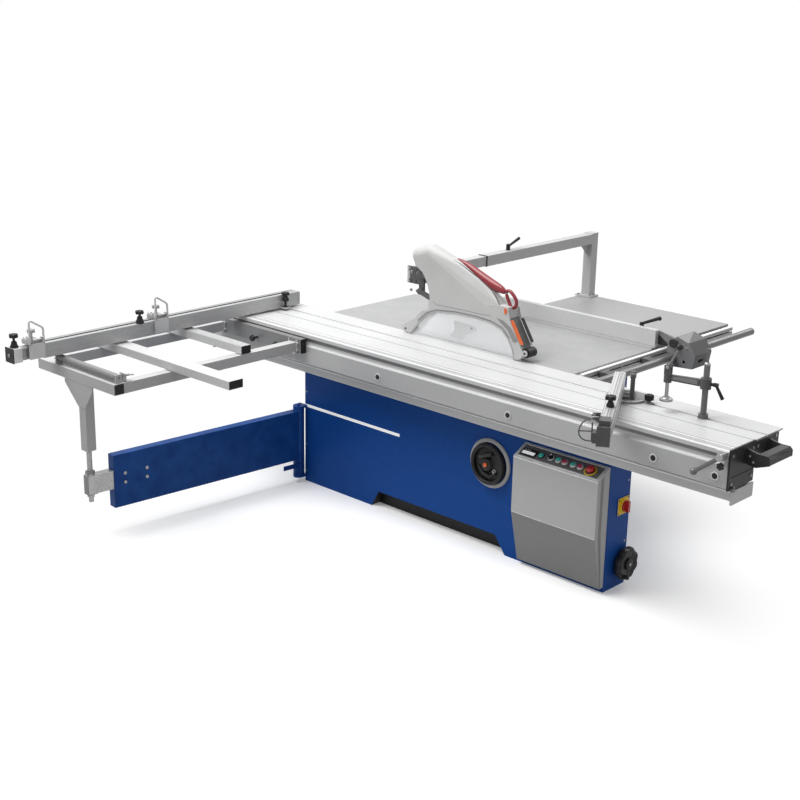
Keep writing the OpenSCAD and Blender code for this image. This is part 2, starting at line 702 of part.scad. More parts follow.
handle_path = [[-48, 425], [60, 383], [236, 328], [316, 282], [320, 264], [300, 268], [240, 306], [236, 328]];
module guard_handle() color("firebrick") difference() {
  for (i = [0:len(handle_path) - 2]) hull() for (p = [handle_path[i], handle_path[i + 1]])
    translate([p[0], 0, table_h + p[1]]) sphere(r = 9, $fn = 24);
  hood(0);
}

module roller_wheel(x, z, r, hw, bore) translate([x, 0, table_h + z]) rotate([90, 0, 0]) difference() {
  translate([0, 0, -hw]) cylinder(r = r - slide_gap, h = 2 * hw);
  translate([0, 0, -hw - cut]) cylinder(r = bore, h = 2 * hw + 2 * cut);
}
module front_roller() color(black) {
  roller_wheel(front_roller_x, front_roller_z, front_roller_r, guard_hw - 10, 4);
  bar_y([front_roller_x, -guard_hw, table_h + front_roller_z], 5, 2 * guard_hw);
}
module rear_roller() color(black)
  roller_wheel(rear_roller_x, rear_roller_r + 1, rear_roller_r, guard_hw - guard_wall - 4, 5 + run_fit);

// Control console on the front of the beam
panel_dy = console_d;
panel_dz = console_z1 - console_z2;
panel_len = norm([panel_dy, panel_dz]);
panel_a = atan2(panel_dz, panel_dy);
console_t = 3;
console_foot = 28;

// Places children on the sloped panel, their Z along its normal
module on_panel(x, s = 0) translate([x, beam_y0 - panel_dy / 2, (console_z1 + console_z2) / 2])
  rotate([panel_a, 0, 0]) translate([0, s, 0]) children();

module console_form(t) polygon([[beam_y0 + (t > 0 ? cut : 0), console_z1 - t * 1.2],
  [beam_y0 - console_d + t, console_z2 - t * 0.8], [beam_y0 - console_d + t, console_z3 + t * 0.2],
  [beam_y0 - console_foot + t, 24 + t], [beam_y0 + (t > 0 ? cut : 0), 24 + t]]);

module console() color(grey) {
  difference() {
    union() {
      along_x(console_x0, console_x1 - console_x0) console_form(0);
      // Frame round the panel
      on_panel((console_x0 + console_x1) / 2) difference() {
        cube([console_x1 - console_x0 - 16, panel_len - 14, 8], center = true);
        cube([console_x1 - console_x0 - 32, panel_len - 28, 10], center = true);
      }
    }
    along_x(console_x0 + console_t, console_x1 - console_x0 - 2 * console_t) console_form(console_t);
    for (x = button_xs) on_panel(x) translate([0, 0, -20]) cylinder(r = button_r + run_fit, h = 40);
    on_panel(selector_x) translate([0, 0, -20]) cylinder(r = button_r + run_fit, h = 40);
  }
}

button_xs = [850, 886, 932, 970, 1026];
selector_x = 809;
module push_button(i) on_panel(button_xs[i]) {
  translate([0, 0, -14]) cylinder(r = button_r, h = 14 + button_stroke + 4);
}
module main_start_button() color("green") push_button(0);
module main_stop_button() color("red") push_button(1);
module scorer_start_button() color("green") push_button(2);
module scorer_stop_button() color("darkred") push_button(3);
module emergency_stop() color("red") {
  push_button(4);
  on_panel(button_xs[4]) translate([0, 0, button_stroke + 3]) {
    cylinder(r = 20, h = 8);
    translate([0, 0, 8]) cylinder(r1 = 20, r2 = 14, h = 5);
  }
}
module selector_knob() color(black) on_panel(selector_x) {
  translate([0, 0, -14]) cylinder(r = button_r, h = 24);
  translate([-3, -button_r, 10 - cut]) cube([6, 2 * button_r, 7 + cut]);
}

module main_switch() color("red") translate([beam_x1 + 3 + slide_gap, wheel_y - 15, switch_z]) {
  rotate([0, 90, 0]) cylinder(r = 24, h = 12);
  translate([-sheet - 12, 0, 0]) rotate([0, 90, 0]) cylinder(r = switch_r, h = sheet + 12 + cut);
  block([11, -7, -26], [30, 7, 26]);
}

// Handwheel with its hub at the origin and its shaft along -Z
module handwheel(r, shaft) {
  tube = 9;
  rotate_extrude($fn = 96) translate([r - tube, 0]) circle(r = tube, $fn = 32);
  cylinder(r = 26, h = 16);
  translate([0, 0, -shaft]) cylinder(r = shaft_r, h = shaft + cut);
  for (i = [0:2]) rotate(30 + i * 120) translate([20, 0, 4]) rotate([0, 90, 0]) cylinder(r = 7, h = r - 20 - tube);
  // Crank grip
  rotate(30) translate([r - tube, 0, 0]) cylinder(r1 = 8, r2 = 11, h = 62);
}
wheel_out = 24;
module tilt_handwheel() color(black)
  translate([tilt_wheel_x, beam_y0 - wheel_out, tilt_wheel_z]) rotate([90, 0, 0]) {
    handwheel(tilt_wheel_r, wheel_out + bush_len + 12);
    translate([0, 0, -wheel_out - bush_len - 10]) cylinder(r = 20, h = 6);
  }
module rise_handwheel() color(black)
  translate([beam_x1 + wheel_out, wheel_y, rise_wheel_z]) rotate([0, 90, 0]) {
    handwheel(rise_wheel_r, wheel_out + bush_len + 12);
    translate([0, 0, -wheel_out - bush_len - 10]) cylinder(r = 20, h = 6);
  }

// Arc about the tilt axis, its angles measured from straight down
module tilt_arc(x, len, r0, r1, a0, a1) translate([x, 0, table_h]) rotate([0, 90, 0]) rotate(a0)
  rotate_extrude(angle = a1 - a0, $fn = 96) translate([r0, 0]) square([r1 - r0, len]);

// Fixed trunnions below the main table, at both ends of the saw unit
unit_x0 = -318;
unit_x1 = 393;
unit_t = 12;
trunnion_t = 24;
groove = 6;
module trunnion(x, open_x) {
  difference() {
    tilt_arc(x, trunnion_t, trunnion_r - 20, trunnion_r + 20, -56, 60);
    tilt_arc(open_x, trunnion_t - 8, trunnion_r - groove, trunnion_r + groove, -57, 61);
  }
}
module trunnions() color(grey) {
  trunnion(unit_x0 - 3 - trunnion_t, unit_x0 - 3 - trunnion_t + 8);
  trunnion(unit_x1 + 3, unit_x1 + 3);
  for (x = [unit_x0 - 3 - trunnion_t, unit_x1 + 3 + trunnion_t - 7])
    block([x + 1, 22, table_h - trunnion_r - 3], [x + 6, 128, table_h - main_t - 1]);
  for (x = [unit_x0 - 3 - trunnion_t, unit_x1 + 3])
    block([x, 14, table_h - main_t - 12], [x + trunnion_t, 150, table_h - main_t]);
}

// Tilting frame with the rise rods and the scoring drive
web_y0 = 22;
web_y1 = 34;
rod_y = 70;
frame_z0 = 560;
frame_z1 = 852;
scorer_z = table_h + 2 - scorer_d / 2;
scorer_shaft_r = 10;
module tilt_frame() color(grey) {
  difference() {
    union() {
      block([unit_x0, web_y0, frame_z0], [unit_x1, web_y1, frame_z1]);
      for (x = [unit_x0, unit_x1 - unit_t]) {
        tilt_arc(x, unit_t, trunnion_r - 12, trunnion_r + 12, -8, 54);
        block([x, web_y0, 690], [x + unit_t, 118, 790]);
      }
      // Scoring drive
      bar_y([scorer_x, 14, scorer_z], 28, 60);
      bar_y([scorer_x, 60, scorer_z], 38, 120);
    }
    block([-45, web_y0 - cut, 650], [45, web_y1 + cut, frame_z1 + cut]);
    block([-208, web_y0 - cut, 620], [-164, web_y1 + cut, 800]);
    bar_y([scorer_x, 14 - cut, scorer_z], scorer_shaft_r + run_fit, 62);
    block([120, web_y0 - cut, 600], [210, web_y1 + cut, 780]);
  }
  tilt_arc(unit_x0 - 15, 16, trunnion_r - groove + slide_gap, trunnion_r + groove - slide_gap, -8, 54);
  tilt_arc(unit_x1 - 1, 16, trunnion_r - groove + slide_gap, trunnion_r + groove - slide_gap, -8, 54);
  for (x = [-rod_x, rod_x]) {
    bar_z([x, rod_y, frame_z0], rod_r, frame_z1 - frame_z0);
    for (z = [[frame_z0, frame_z0 + 25], [frame_z1 - 20, frame_z1]])
      block([x - 28, web_y1 - cut, z[0]], [x + 28, rod_y + 25, z[1]]);
  }
}

// Circular saw blade in the XZ plane, its teeth wider than its body
module saw_disc(d, t, n) rotate([90, 0, 0]) {
  translate([0, 0, -t / 2]) linear_extrude(t) difference() {
    circle(d = d, $fn = 96);
    for (i = [0:n - 1]) rotate(i * 360 / n) translate([d / 2, 0]) rotate(35)
      translate([-5, -1]) square([16, 9]);
  }
}
module scoring_blade() color(steel) translate([scorer_x, 0, scorer_z]) {
  saw_disc(scorer_d, 3, 12);
  translate([0, -12, 0]) rotate([-90, 0, 0]) cylinder(r = 22, h = 22);
  translate([0, -18, 0]) rotate([-90, 0, 0]) cylinder(r = 12, h = 10);
  rotate([-90, 0, 0]) cylinder(r = scorer_shaft_r, h = 72);
}

// Rising saw unit: housing on the rods, motor behind it
housing_y1 = 120;
pulley_y0 = 130;
pulley_w = 30;
motor_dx = -150;
motor_dz = -150;
motor_y0 = 172;
module arbor_housing() color(grey) difference() {
  union() {
    block([-72, 44, blade_z - 62], [72, housing_y1, blade_z + 38]);
    for (x = [-rod_x, rod_x]) bar_z([x, rod_y, blade_z - 92], rod_r + 12, 120);
    block([-rod_x, rod_y - 14, blade_z - 62], [rod_x, rod_y + 14, blade_z - 10]);
    bar_y([0, 38, blade_z], 34, housing_y1 - 38);
    // Arm of the riving knife
    block([-204, 42, blade_z - 62], [-rod_x, 60, blade_z - 22]);
    // Motor plate
    along_y(housing_y1 - 14, 14) hull() {
      translate([motor_dx, blade_z + motor_dz]) circle(r = motor_r - 2);
      translate([0, blade_z - 10]) circle(r = 46);
    }
    for (a = [135, 225, 315]) bar_y([motor_dx + 76 * cos(a), housing_y1 - cut, blade_z + motor_dz + 76 * sin(a)],
      8, motor_y0 - housing_y1 + cut);
  }
  for (x = [-rod_x, rod_x]) bar_z([x, rod_y, blade_z - 92 - cut], rod_r + run_fit, 120 + 2 * cut);
  bar_y([0, 38 - cut, blade_z], arbor_r + run_fit, housing_y1 - 38 + 2 * cut);
}

module main_motor() color(grey) translate([motor_dx, motor_y0, blade_z + motor_dz]) difference() {
  union() {
    rotate([-90, 0, 0]) cylinder(r = motor_r, h = 14);
    rotate([-90, 0, 0]) cylinder(r = motor_r - 8, h = motor_len);
    for (i = [0:15]) rotate([0, i * 22.5, 0]) translate([motor_r - 10, 20, -1.5]) cube([8, motor_len - 70, 3]);
    translate([0, motor_len - 42, 0]) rotate([-90, 0, 0]) cylinder(r = motor_r - 2, h = 42);
    block([-45, 50, motor_r - 12], [45, 130, motor_r + 28]);
  }
  rotate([-90, 0, 0]) translate([0, 0, -cut]) cylinder(r = motor_shaft_r + run_fit, h = 60);
}
motor_shaft_r = 12;

module pulley(r) difference() {
  rotate([-90, 0, 0]) cylinder(r = r, h = pulley_w);
  for (i = [0:2]) translate([0, 6 + i * 8, 0]) rotate([-90, 0, 0]) rotate_extrude() translate([r - 3, 0])
    square([4, 2]);
}
module motor_pulley() color(steel) translate([motor_dx, pulley_y0, blade_z + motor_dz]) {
  pulley(motor_pulley_r);
  rotate([-90, 0, 0]) cylinder(r = motor_shaft_r, h = motor_y0 - pulley_y0 + 50);
}

module main_blade() color(steel) {
  translate([0, 0, blade_z]) {
    saw_disc(blade_d, blade_t, 24);
    translate([0, -12, 0]) rotate([-90, 0, 0]) cylinder(r = 40, h = 24);
    translate([0, -22, 0]) rotate([-90, 0, 0]) cylinder(r = 20, h = 12);
    rotate([-90, 0, 0]) cylinder(r = arbor_r, h = pulley_y0 + cut);
    translate([0, pulley_y0, 0]) pulley(arbor_pulley_r);
  }
}

module belt_loop(grow) hull() {
  circle(r = arbor_pulley_r + grow, $fn = 64);
  translate([motor_dx, motor_dz]) circle(r = motor_pulley_r + grow, $fn = 64);
}
module drive_belt() color(black) translate([0, 0, blade_z]) along_y(pulley_y0 + 3, pulley_w - 6) difference() {
  belt_loop(6);
  belt_loop(slide_gap);
}

knife_r = 164;
module riving_knife() color(steel) translate([0, 0, blade_z]) {
  along_y(-1.25, 2.5) difference() {
    intersection() {
      translate([-8, 0]) circle(r = knife_r + 32, $fn = 96);
      polygon([[-120, 148], [-180, 120], [-230, -50], [-168, -50], [-90, 60], [-104, 148]]);
    }
    circle(r = knife_r, $fn = 96);
  }
  block([-200, -8, -60], [-172, 42, -24]);
}

// Push handle, end caps and plugs of the carriage
handle_out = 112;
handle_y0 = -309;
handle_y1 = -127;
cap_t = 8;
module push_handle() color(black) {
  difference() {
    union() {
      block([carriage_x1, carriage_y0 + 2, carriage_z0 - 7], [carriage_x1 + cap_t, box_y1, table_h + 5]);
      block([carriage_x1, box_y1 - cut, strut_z + 40], [carriage_x1 + cap_t, carriage_y1 - 46, table_h - 2]);
    }
    block([carriage_x1 + cap_t - 2, carriage_y0 + 14, 760], [carriage_x1 + cap_t + cut, box_y1 - 12, 830]);
  }
  translate([carriage_x1, 0, 0]) {
    for (y = [handle_y0, handle_y1 - 8]) along_y(y, 8) polygon([[cap_t - 3, 797], [cap_t - 3, 862],
      [62, 850], [handle_out - 12, 850], [handle_out, 838], [handle_out, 812], [53, 790]]);
    // Folded grip between the two side plates
    along_y(handle_y0 + 1, handle_y1 - handle_y0 - 2) polygon([[62, 849.5], [handle_out - 12.5, 849.5],
      [handle_out - 0.5, 837.5], [handle_out - 0.5, 813], [handle_out - 4, 812.5], [handle_out - 4, 836],
      [handle_out - 14, 846], [62, 846]]);
  }
  for (x = plug_xs) {
    bar_y([x, carriage_y0, plug_z], plug_r, wall - cut);
    bar_y([x, carriage_y0 - 3, plug_z], plug_r + 5, 3);
  }
}

lever_pin_r = 8;
lever_piv_x = carriage_x1 - 14;
lever_piv_z = table_h - 18;
module lock_lever() color(black) translate([lever_piv_x, 0, lever_piv_z]) {
  difference() {
    bar_y([0, carriage_y0 - 48, 0], 15, 38);
    bar_y([0, carriage_y0 - 48 - cut, 0], lever_pin_r + run_fit, 40);
  }
  translate([0, carriage_y0 - 38, 0]) rotate([0, -128, 0]) {
    translate([0, 0, 13]) cylinder(r = 9, h = 128);
    translate([0, 0, 144]) sphere(r = 15);
  }
}

// Outrigger: mounting profile, welded frame, support bars, roller
tube_z1 = table_h - tube_drop;
tube_z0 = tube_z1 - tube_s;
mount_x0 = -1330;
mount_x1 = -671;
mount_y0 = -463;
leg_y = end_y0 + 28;
pivot_y = -215;
pivot_x = cross_x0 + cross_w / 2;
module outrigger_mount() color(alu) {
  difference() {
    block([mount_x0, mount_y0, table_h - 100], [mount_x1, carriage_y0, table_h - 25]);
    block([mount_x0 - cut, mount_y0 + 8, table_h - 92], [mount_x1 + cut, carriage_y0 - 8, table_h - 64]);
    block([mount_x0 - cut, mount_y0 + 8, table_h - 58], [mount_x1 + cut, carriage_y0 - 8, table_h - 33]);
  }
  // Pivot of the crosscut fence, held in the T-slot
  t_block(pivot_x, 70);
  block([pivot_x - 30, pivot_y - 22, table_h], [pivot_x + 30, slot_y + 24, cross_z0 - slide_gap]);
  bar_z([pivot_x, pivot_y, table_h + 4], pivot_r, cross_lift + cross_wall - 6);
}

module square_tube(a, b, axis) difference() {
  block(a, b);
  t = tube_wall;
  if (axis == "y") block([a.x + t, a.y - cut, a.z + t], [b.x - t, b.y + cut, b.z - t]);
  else block([a.x - cut, a.y + t, a.z + t], [b.x + cut, b.y - t, b.z - t]);
}
module outrigger_frame() color(grey) {
  for (x = [far_x0, near_x0])
    square_tube([x, end_y0 + tube_s - 1, tube_z0], [x + tube_s, mount_y0, tube_z1], "y");
  square_tube([far_x0, end_y0, tube_z0], [near_x0 + tube_s, end_y0 + tube_s, tube_z1], "x");
  for (x = [far_x0 - 4, near_x0 + tube_s - 1]) block([x, end_y0 + 1, tube_z0 + 1], [x + 5, end_y0 + tube_s - 1, tube_z1 - 1]);
  // Leg with its gusset
  difference() {
    block([leg_x - 25, leg_y - 25, leg_z0], [leg_x + 25, leg_y + 25, tube_z0 + 1]);
    block([leg_x - 22, leg_y - 22, leg_z0 + 6], [leg_x + 22, leg_y + 22, tube_z0 - 6]);
  }
  along_y(leg_y - 27, 5) polygon([[leg_x - 130, tube_z0 + 1], [leg_x + 92, tube_z0 + 1], [leg_x + 92, tube_z0 - 20],
    [leg_x + 25, tube_z0 - 120], [leg_x - 25, tube_z0 - 120], [leg_x - 130, tube_z0 - 20]]);
  // Bearing plates of the roller
  for (x = [roller_x0 - 12, roller_x1 + 4]) difference() {
    block([x, roller_y - 20, tube_z1 - 1], [x + 8, roller_y + 16, table_h - 1]);
    bar_x([x - cut, roller_y, roller_z], 6 + run_fit, 8 + 2 * cut);
  }
}
roller_y = -1530;
roller_z = 857;
roller_x0 = -1180;
roller_x1 = -720;
module outrigger_roller() color(steel) {
  bar_x([roller_x0, roller_y, roller_z], roller_r, roller_x1 - roller_x0);
  bar_x([roller_x0 - 12, roller_y, roller_z], 6, roller_x1 - roller_x0 + 24);
}

module support_bars() color(alu) {
  difference() {
    block([far_x0, -1245, table_h - 40], [-284, -1165, table_h]);
    block([far_x0 - cut, -1240, table_h - 35], [-284 - 4, -1170, table_h - 5]);
  }
  difference() {
    block([far_x0, -823, table_h - 40], [-701, -763, table_h]);
    block([far_x0 - cut, -818, table_h - 35], [-701 - 4, -768, table_h - 6]);
    for (i = [0:4]) block([far_x0 - cut, -819 + i * 11, table_h - 2], [-705, -813 + i * 11, table_h + cut]);
  }
  for (x = [far_x0, near_x0], y = [-1235, -818])
    block([x + 5, y, tube_z1], [x + tube_s - 5, y + 50, table_h - 40 + cut]);
}

// Swing arm below the outrigger
arm_a = atan2(leg_y - hinge_y, leg_x - hinge_x);
rod_dist = norm([leg_x - hinge_x, leg_y - hinge_y]);
arm_len = rod_dist - 112;
inner_w = arm_t - 6;
inner_z0 = arm_z0 + 98;
inner_h = 93;
module on_arm() translate([hinge_x, hinge_y, 0]) rotate(arm_a) children();
module swing_arm() color(blue) on_arm() difference() {
  union() {
    bar_z([0, 0, hinge_z0], barrel_r, hinge_z1 - hinge_z0);
    block([0, -arm_t / 2, arm_z0], [arm_len, arm_t / 2, arm_z0 + arm_h]);
  }
  bar_z([0, 0, hinge_z0 - cut], hinge_pin_r + run_fit, hinge_z1 - hinge_z0 + 2 * cut);
  block([350, -inner_w / 2, inner_z0], [arm_len + cut, inner_w / 2, inner_z0 + inner_h]);
  for (z = [arm_z0 + 3, inner_z0 + inner_h + 3])
    block([barrel_r + 8, -inner_w / 2, z], [arm_len - 3, inner_w / 2, z == arm_z0 + 3 ? inner_z0 - 3 : arm_z0 + arm_h - 3]);
  for (x = [arm_len - 60, arm_len - 180], z = [inner_z0 + 24, inner_z0 + 70])
    translate([x, -arm_t, z]) rotate([-90, 0, 0]) cylinder(r = 5, h = arm_t);
}
module swing_tube() color(grey) on_arm() {
  g = 0.3;
  difference() {
    block([400, -inner_w / 2 + g, inner_z0 + g], [rod_dist + 22, inner_w / 2 - g, inner_z0 + inner_h - g]);
    block([400 - cut, -inner_w / 2 + 4, inner_z0 + 4], [rod_dist - 24, inner_w / 2 - 4, inner_z0 + inner_h - 4]);
  }
  bar_z([rod_dist, 0, arm_z0 + 56], 12, leg_z0 - slide_gap - arm_z0 - 56);
  bar_z([rod_dist, 0, inner_z0 + inner_h - cut], 20, 14);
  translate([rod_dist, 0, inner_z0 - 16]) cylinder(r = 20, h = 17, $fn = 6);
}

// Crosscut fence with telescopic extension and flip stops
cross_z0 = table_h + cross_lift;
cross_z1 = cross_z0 + cross_h;
cross_wall = 7;
stop_slot = 14;
module crosscut_fence() color(alu) {
  difference() {
    block([cross_x0, cross_y0, cross_z0], [cross_x0 + cross_w, cross_y1, cross_z1]);
    block([cross_x0 + cross_wall, cross_y0 - cut, cross_z0 + cross_wall],
      [cross_x0 + cross_w - cross_wall, cross_y1 - 12, cross_z1 - cross_wall]);
    block([pivot_x - stop_slot / 2, cross_y0 - cut, cross_z1 - cross_wall - cut],
      [pivot_x + stop_slot / 2, cross_y1 - 60, cross_z1 + cut]);
    block([cross_x0 + cross_w - 3, cross_y0 - cut, cross_z0 + 20], [cross_x0 + cross_w + cut, cross_y1 + cut, cross_z0 + 26]);
    block([cross_x0 + cross_w - 3, cross_y0 - cut, cross_z0 + 46], [cross_x0 + cross_w + cut, cross_y1 + cut, cross_z0 + 52]);
    bar_z([pivot_x, pivot_y, cross_z0 - cut], pivot_r + run_fit, cross_wall + 2 * cut);
  }
  // Clamp of the swivel and clamp of the extension
  block([cross_x0 + cross_w, -190, cross_z0], [cross_x0 + cross_w + 40, -150, cross_z0 + 10]);
  translate([cross_x0 + cross_w + 20, -170, cross_z0 + 9]) star_grip(19, 15, 6, 63);
  translate([pivot_x + 22, -1094, cross_z1 - cut]) star_grip(19, 15, 6, 47);
}

ext_gap = 0.4;
module fence_extension() color(steel) {
  x0 = cross_x0 + cross_wall + ext_gap;
  x1 = cross_x0 + cross_w - cross_wall - ext_gap;
  z0 = cross_z0 + cross_wall + ext_gap;
  z1 = cross_z1 - cross_wall - ext_gap;
  difference() {
    block([x0, cross_y0 - extension_out, z0], [x1, -600, z1]);
    block([x0 + 4, cross_y0 - extension_out + 8, z0 + 4], [x1 - 4, -600 + cut, z1 - 4]);
  }
  translate([pivot_x, cross_y0 - extension_out + 21, z1 - cut]) star_grip(19, 15, 6, 53);
}

// Flip stop: block on a fence that lies along Y, its working face at +X
stop_w = 60;
stop_h = 22;
arch_r = 41;
arch_pin = [45, 29];
module stop_block(foot) {
  difference() {
    union() {
      block([-35, -stop_w / 2, slide_gap], [35, stop_w / 2, stop_h]);
      for (y = [-stop_w / 2, stop_w / 2 - 6]) block([35 - cut, y, 12], [arch_pin.x + 7, y + 6, arch_pin.y + 7]);
    }
    bar_y([arch_pin.x, -stop_w, arch_pin.y], 4 + run_fit, 2 * stop_w);
  }
  block([-6, -stop_w / 2, -foot], [6, stop_w / 2, slide_gap + cut]);
  translate([0, 0, stop_h - cut]) star_grip(19, 14, 6, 32);
}
module flip_arch(drop) {
  rise = 82;
  along_x(arch_pin.x - 3, 6) difference() {
    union() {
      translate([-arch_r, -drop]) square([2 * arch_r, drop + rise]);
      translate([0, rise]) circle(r = arch_r);
    }
    translate([-arch_r + 9, 10]) square([2 * arch_r - 18, rise - 10]);
    translate([0, rise]) circle(r = arch_r - 9);
  }
  bar_y([arch_pin.x, -arch_r + 3, arch_pin.y], 4, 2 * arch_r - 6);
}
stop_1_y = cross_y0 - 41;
module flip_stop_1() color(black) translate([pivot_x, stop_1_y, cross_z1]) stop_block(cross_wall + ext_gap - slide_gap);
module flip_arch_1() color(steel) translate([pivot_x, stop_1_y, cross_z1]) flip_arch(cross_h - 8);
module flip_stop_2() color(black) translate([pivot_x, stop_2_y, cross_z1]) stop_block(cross_wall - 1);
module flip_arch_2() color(steel) translate([pivot_x, stop_2_y, cross_z1]) flip_arch(cross_h - 8);

// Miter gauge on the carriage
miter_base_t = 9;
miter_z0 = table_h + slide_gap + miter_base_t + slide_gap;
miter_off = 42;
miter_pin_r = 10;
module miter_base() color(black) {
  t_block(miter_x, 120);
  translate([miter_x, slot_y, table_h + slide_gap]) {
    intersection() {
      cylinder(r = miter_r, h = miter_base_t, $fn = 96);
      translate([-miter_r - cut, -miter_r - cut, -cut]) cube([2 * miter_r + 2, miter_r + 86, 20]);
    }
    cylinder(r = miter_pin_r, h = miter_base_t + 14);
  }
  // Clamp knob in the slot
  t_block(miter_x + 112, 40);
  translate([miter_x + 112, slot_y, table_h + 4]) star_grip(20, 13, 9, 13);
  block([miter_x + 60, slot_y - 12, table_h + slide_gap], [miter_x + 130, slot_y + 12, table_h + 5]);
}
module on_miter() translate([miter_x, slot_y, 0]) rotate(miter_a) children();
module miter_fence() color(alu) on_miter() {
  x1 = -miter_off + miter_w / 2;
  difference() {
    union() {
      difference() {
        block([x1 - miter_w, -miter_out, miter_z0], [x1, miter_in, miter_z0 + miter_h - 2]);
        block([x1 - miter_w + 5, -miter_out - cut, miter_z0 + 5], [x1 - 5, miter_in + cut, miter_z0 + miter_h / 2 - 4]);
        block([x1 - miter_w + 5, -miter_out - cut, miter_z0 + miter_h / 2 + 1], [x1 - 5, miter_in + cut, miter_z0 + miter_h - 8]);
        block([x1 - 4, -miter_out - cut, miter_z0 + 30], [x1 + cut, miter_in + cut, miter_z0 + 38]);
      }
      // Carrier plate over the protractor
      block([x1 - cut, -52, miter_z0], [34, 40, miter_z0 + 10]);
      bar_z([22, -44, miter_z0 + cut], 10, 108);
      bar_z([22, -44, miter_z0 + 96], 13, 18);
      block([x1 - miter_w - 4, -miter_out - 6, miter_z0], [x1 + 2, -miter_out, miter_z0 + miter_h]);
    }
    bar_z([0, 0, miter_z0 - cut], miter_pin_r + run_fit, 12 + cut);
  }
  translate([x1 - miter_w / 2, -430, miter_z0 + miter_h - 3]) star_grip(18, 14, 6, 32);
  translate([x1 - miter_w / 2, flap_y, miter_z0 + miter_h - 2]) mirror([1, 0, 0]) difference() {
    union() {
      block([-22, -stop_w / 2, -cut], [22, stop_w / 2, stop_h]);
      for (y = [-stop_w / 2, stop_w / 2 - 6]) block([22 - cut, y, 12], [arch_pin.x + 7, y + 6, arch_pin.y + 7]);
    }
    bar_y([arch_pin.x, -stop_w, arch_pin.y], 4 + run_fit, 2 * stop_w);
  }
}
flap_y = -miter_out + 44;
module miter_flap() color(steel) on_miter()
  translate([-miter_off, flap_y, miter_z0 + miter_h - 2]) mirror([1, 0, 0]) flip_arch(miter_h - 8);

// Hold-down clamp
clamp_a = 194;
foot_lift = 45;
head_x = clamp_reach;
arm_low = 135;
foot_r = 28;
spindle_r = 8;
cam_z = table_h + 196;
module clamp_post() color(steel) {
  t_block(clamp_x, 50);
  translate([clamp_x, slot_y, table_h]) {
    translate([0, 0, slide_gap]) cylinder(r = 24, h = 18, $fn = 6);
    translate([0, 0, slide_gap]) cylinder(r = clamp_r, h = clamp_h - slide_gap);
    cylinder(r = 5, h = clamp_h + 66);
  }
}
module on_clamp() translate([clamp_x, slot_y, table_h]) rotate(clamp_a) children();
module clamp_arm() color(black) on_clamp() difference() {
  union() {
    bar_z([0, 0, arm_low - 8], clamp_r + 10, 46);
    hull() {
      block([10, -10, arm_low], [14, 10, arm_low + 30]);
      block([head_x - 4, -8, arm_low + 4], [head_x, 8, arm_low + 28]);
    }
    bar_z([head_x, 0, arm_low - 6], spindle_r + 9, 42);
    for (y = [-15, 9]) block([head_x - 14, y, arm_low + 30], [head_x + 14, y + 6, cam_z - table_h + 9]);
    // Clamp lever of the arm
    bar_x([-clamp_r - 26, 0, arm_low + 14], 7, 20);
    translate([-clamp_r - 30, 0, arm_low + 14]) rotate([0, -150, 0]) cylinder(r1 = 6, r2 = 8, h = 66);
    bar_x([-clamp_r - 40, 0, arm_low + 14], 9, 20);
  }
  bar_z([0, 0, arm_low - 8 - cut], clamp_r + run_fit, 46 + 2 * cut);
  bar_z([head_x, 0, arm_low - 6 - cut], spindle_r + run_fit, 60);
  bar_y([head_x, -20, cam_z - table_h], 4 + run_fit, 40);
}
module cam_lever() color(black) on_clamp() translate([head_x, 0, cam_z - table_h]) {
  bar_y([0, -8.5, 0], 11, 17);
  bar_y([0, -15, 0], 4, 30);
  rotate([0, -25, 0]) {
    translate([0, 0, 8]) cylinder(r = 5, h = 86);
    translate([0, 0, 100]) sphere(r = 14);
  }
}
module clamp_foot() color(black) on_clamp() translate([head_x, 0, 0]) {
  bar_z([0, 0, foot_lift + 3], foot_r, 8);
  translate([0, 0, foot_lift + 10]) cylinder(r1 = foot_r - 4, r2 = spindle_r + 4, h = 10);
  bar_z([0, 0, foot_lift + 12], spindle_r, cam_z - table_h - foot_lift - 23 - slide_gap);
}

cabinet();
base_rail();
main_table();
extension_table();
rip_rail();
rip_bar();
guard_column();
console();
trunnions();
tilt_handwheel();
rise_handwheel();
main_start_button();
main_stop_button();
scorer_start_button();
scorer_stop_button();
selector_knob();
emergency_stop();
main_switch();
tilt_frame();
scoring_blade();
arbor_housing();
main_motor();
riving_knife();
main_blade();
motor_pulley();
drive_belt();
boom_inner();
boom_lever();
upper_link();
lower_link();
guard_shell();
guard_window();
guard_handle();
front_roller();
rear_roller();
rip_carrier();
rip_fence();
rip_lever();
carriage();
push_handle();
lock_lever();
outrigger_mount();
outrigger_frame();
support_bars();
outrigger_roller();
swing_arm();
swing_tube();
crosscut_fence();
fence_extension();
flip_stop_1();
flip_arch_1();
flip_stop_2();
flip_arch_2();
miter_base();
miter_fence();
miter_flap();
clamp_post();
clamp_arm();
cam_lever();
clamp_foot();
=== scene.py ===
"""Dresses the sliding table saw: finishes, small fittings, light and camera."""

import json
import logging
import math
from dataclasses import dataclass, field
from enum import Enum
from typing import Callable, Optional, Sequence, Union

import bmesh
import bpy
from mathutils import Matrix, Vector

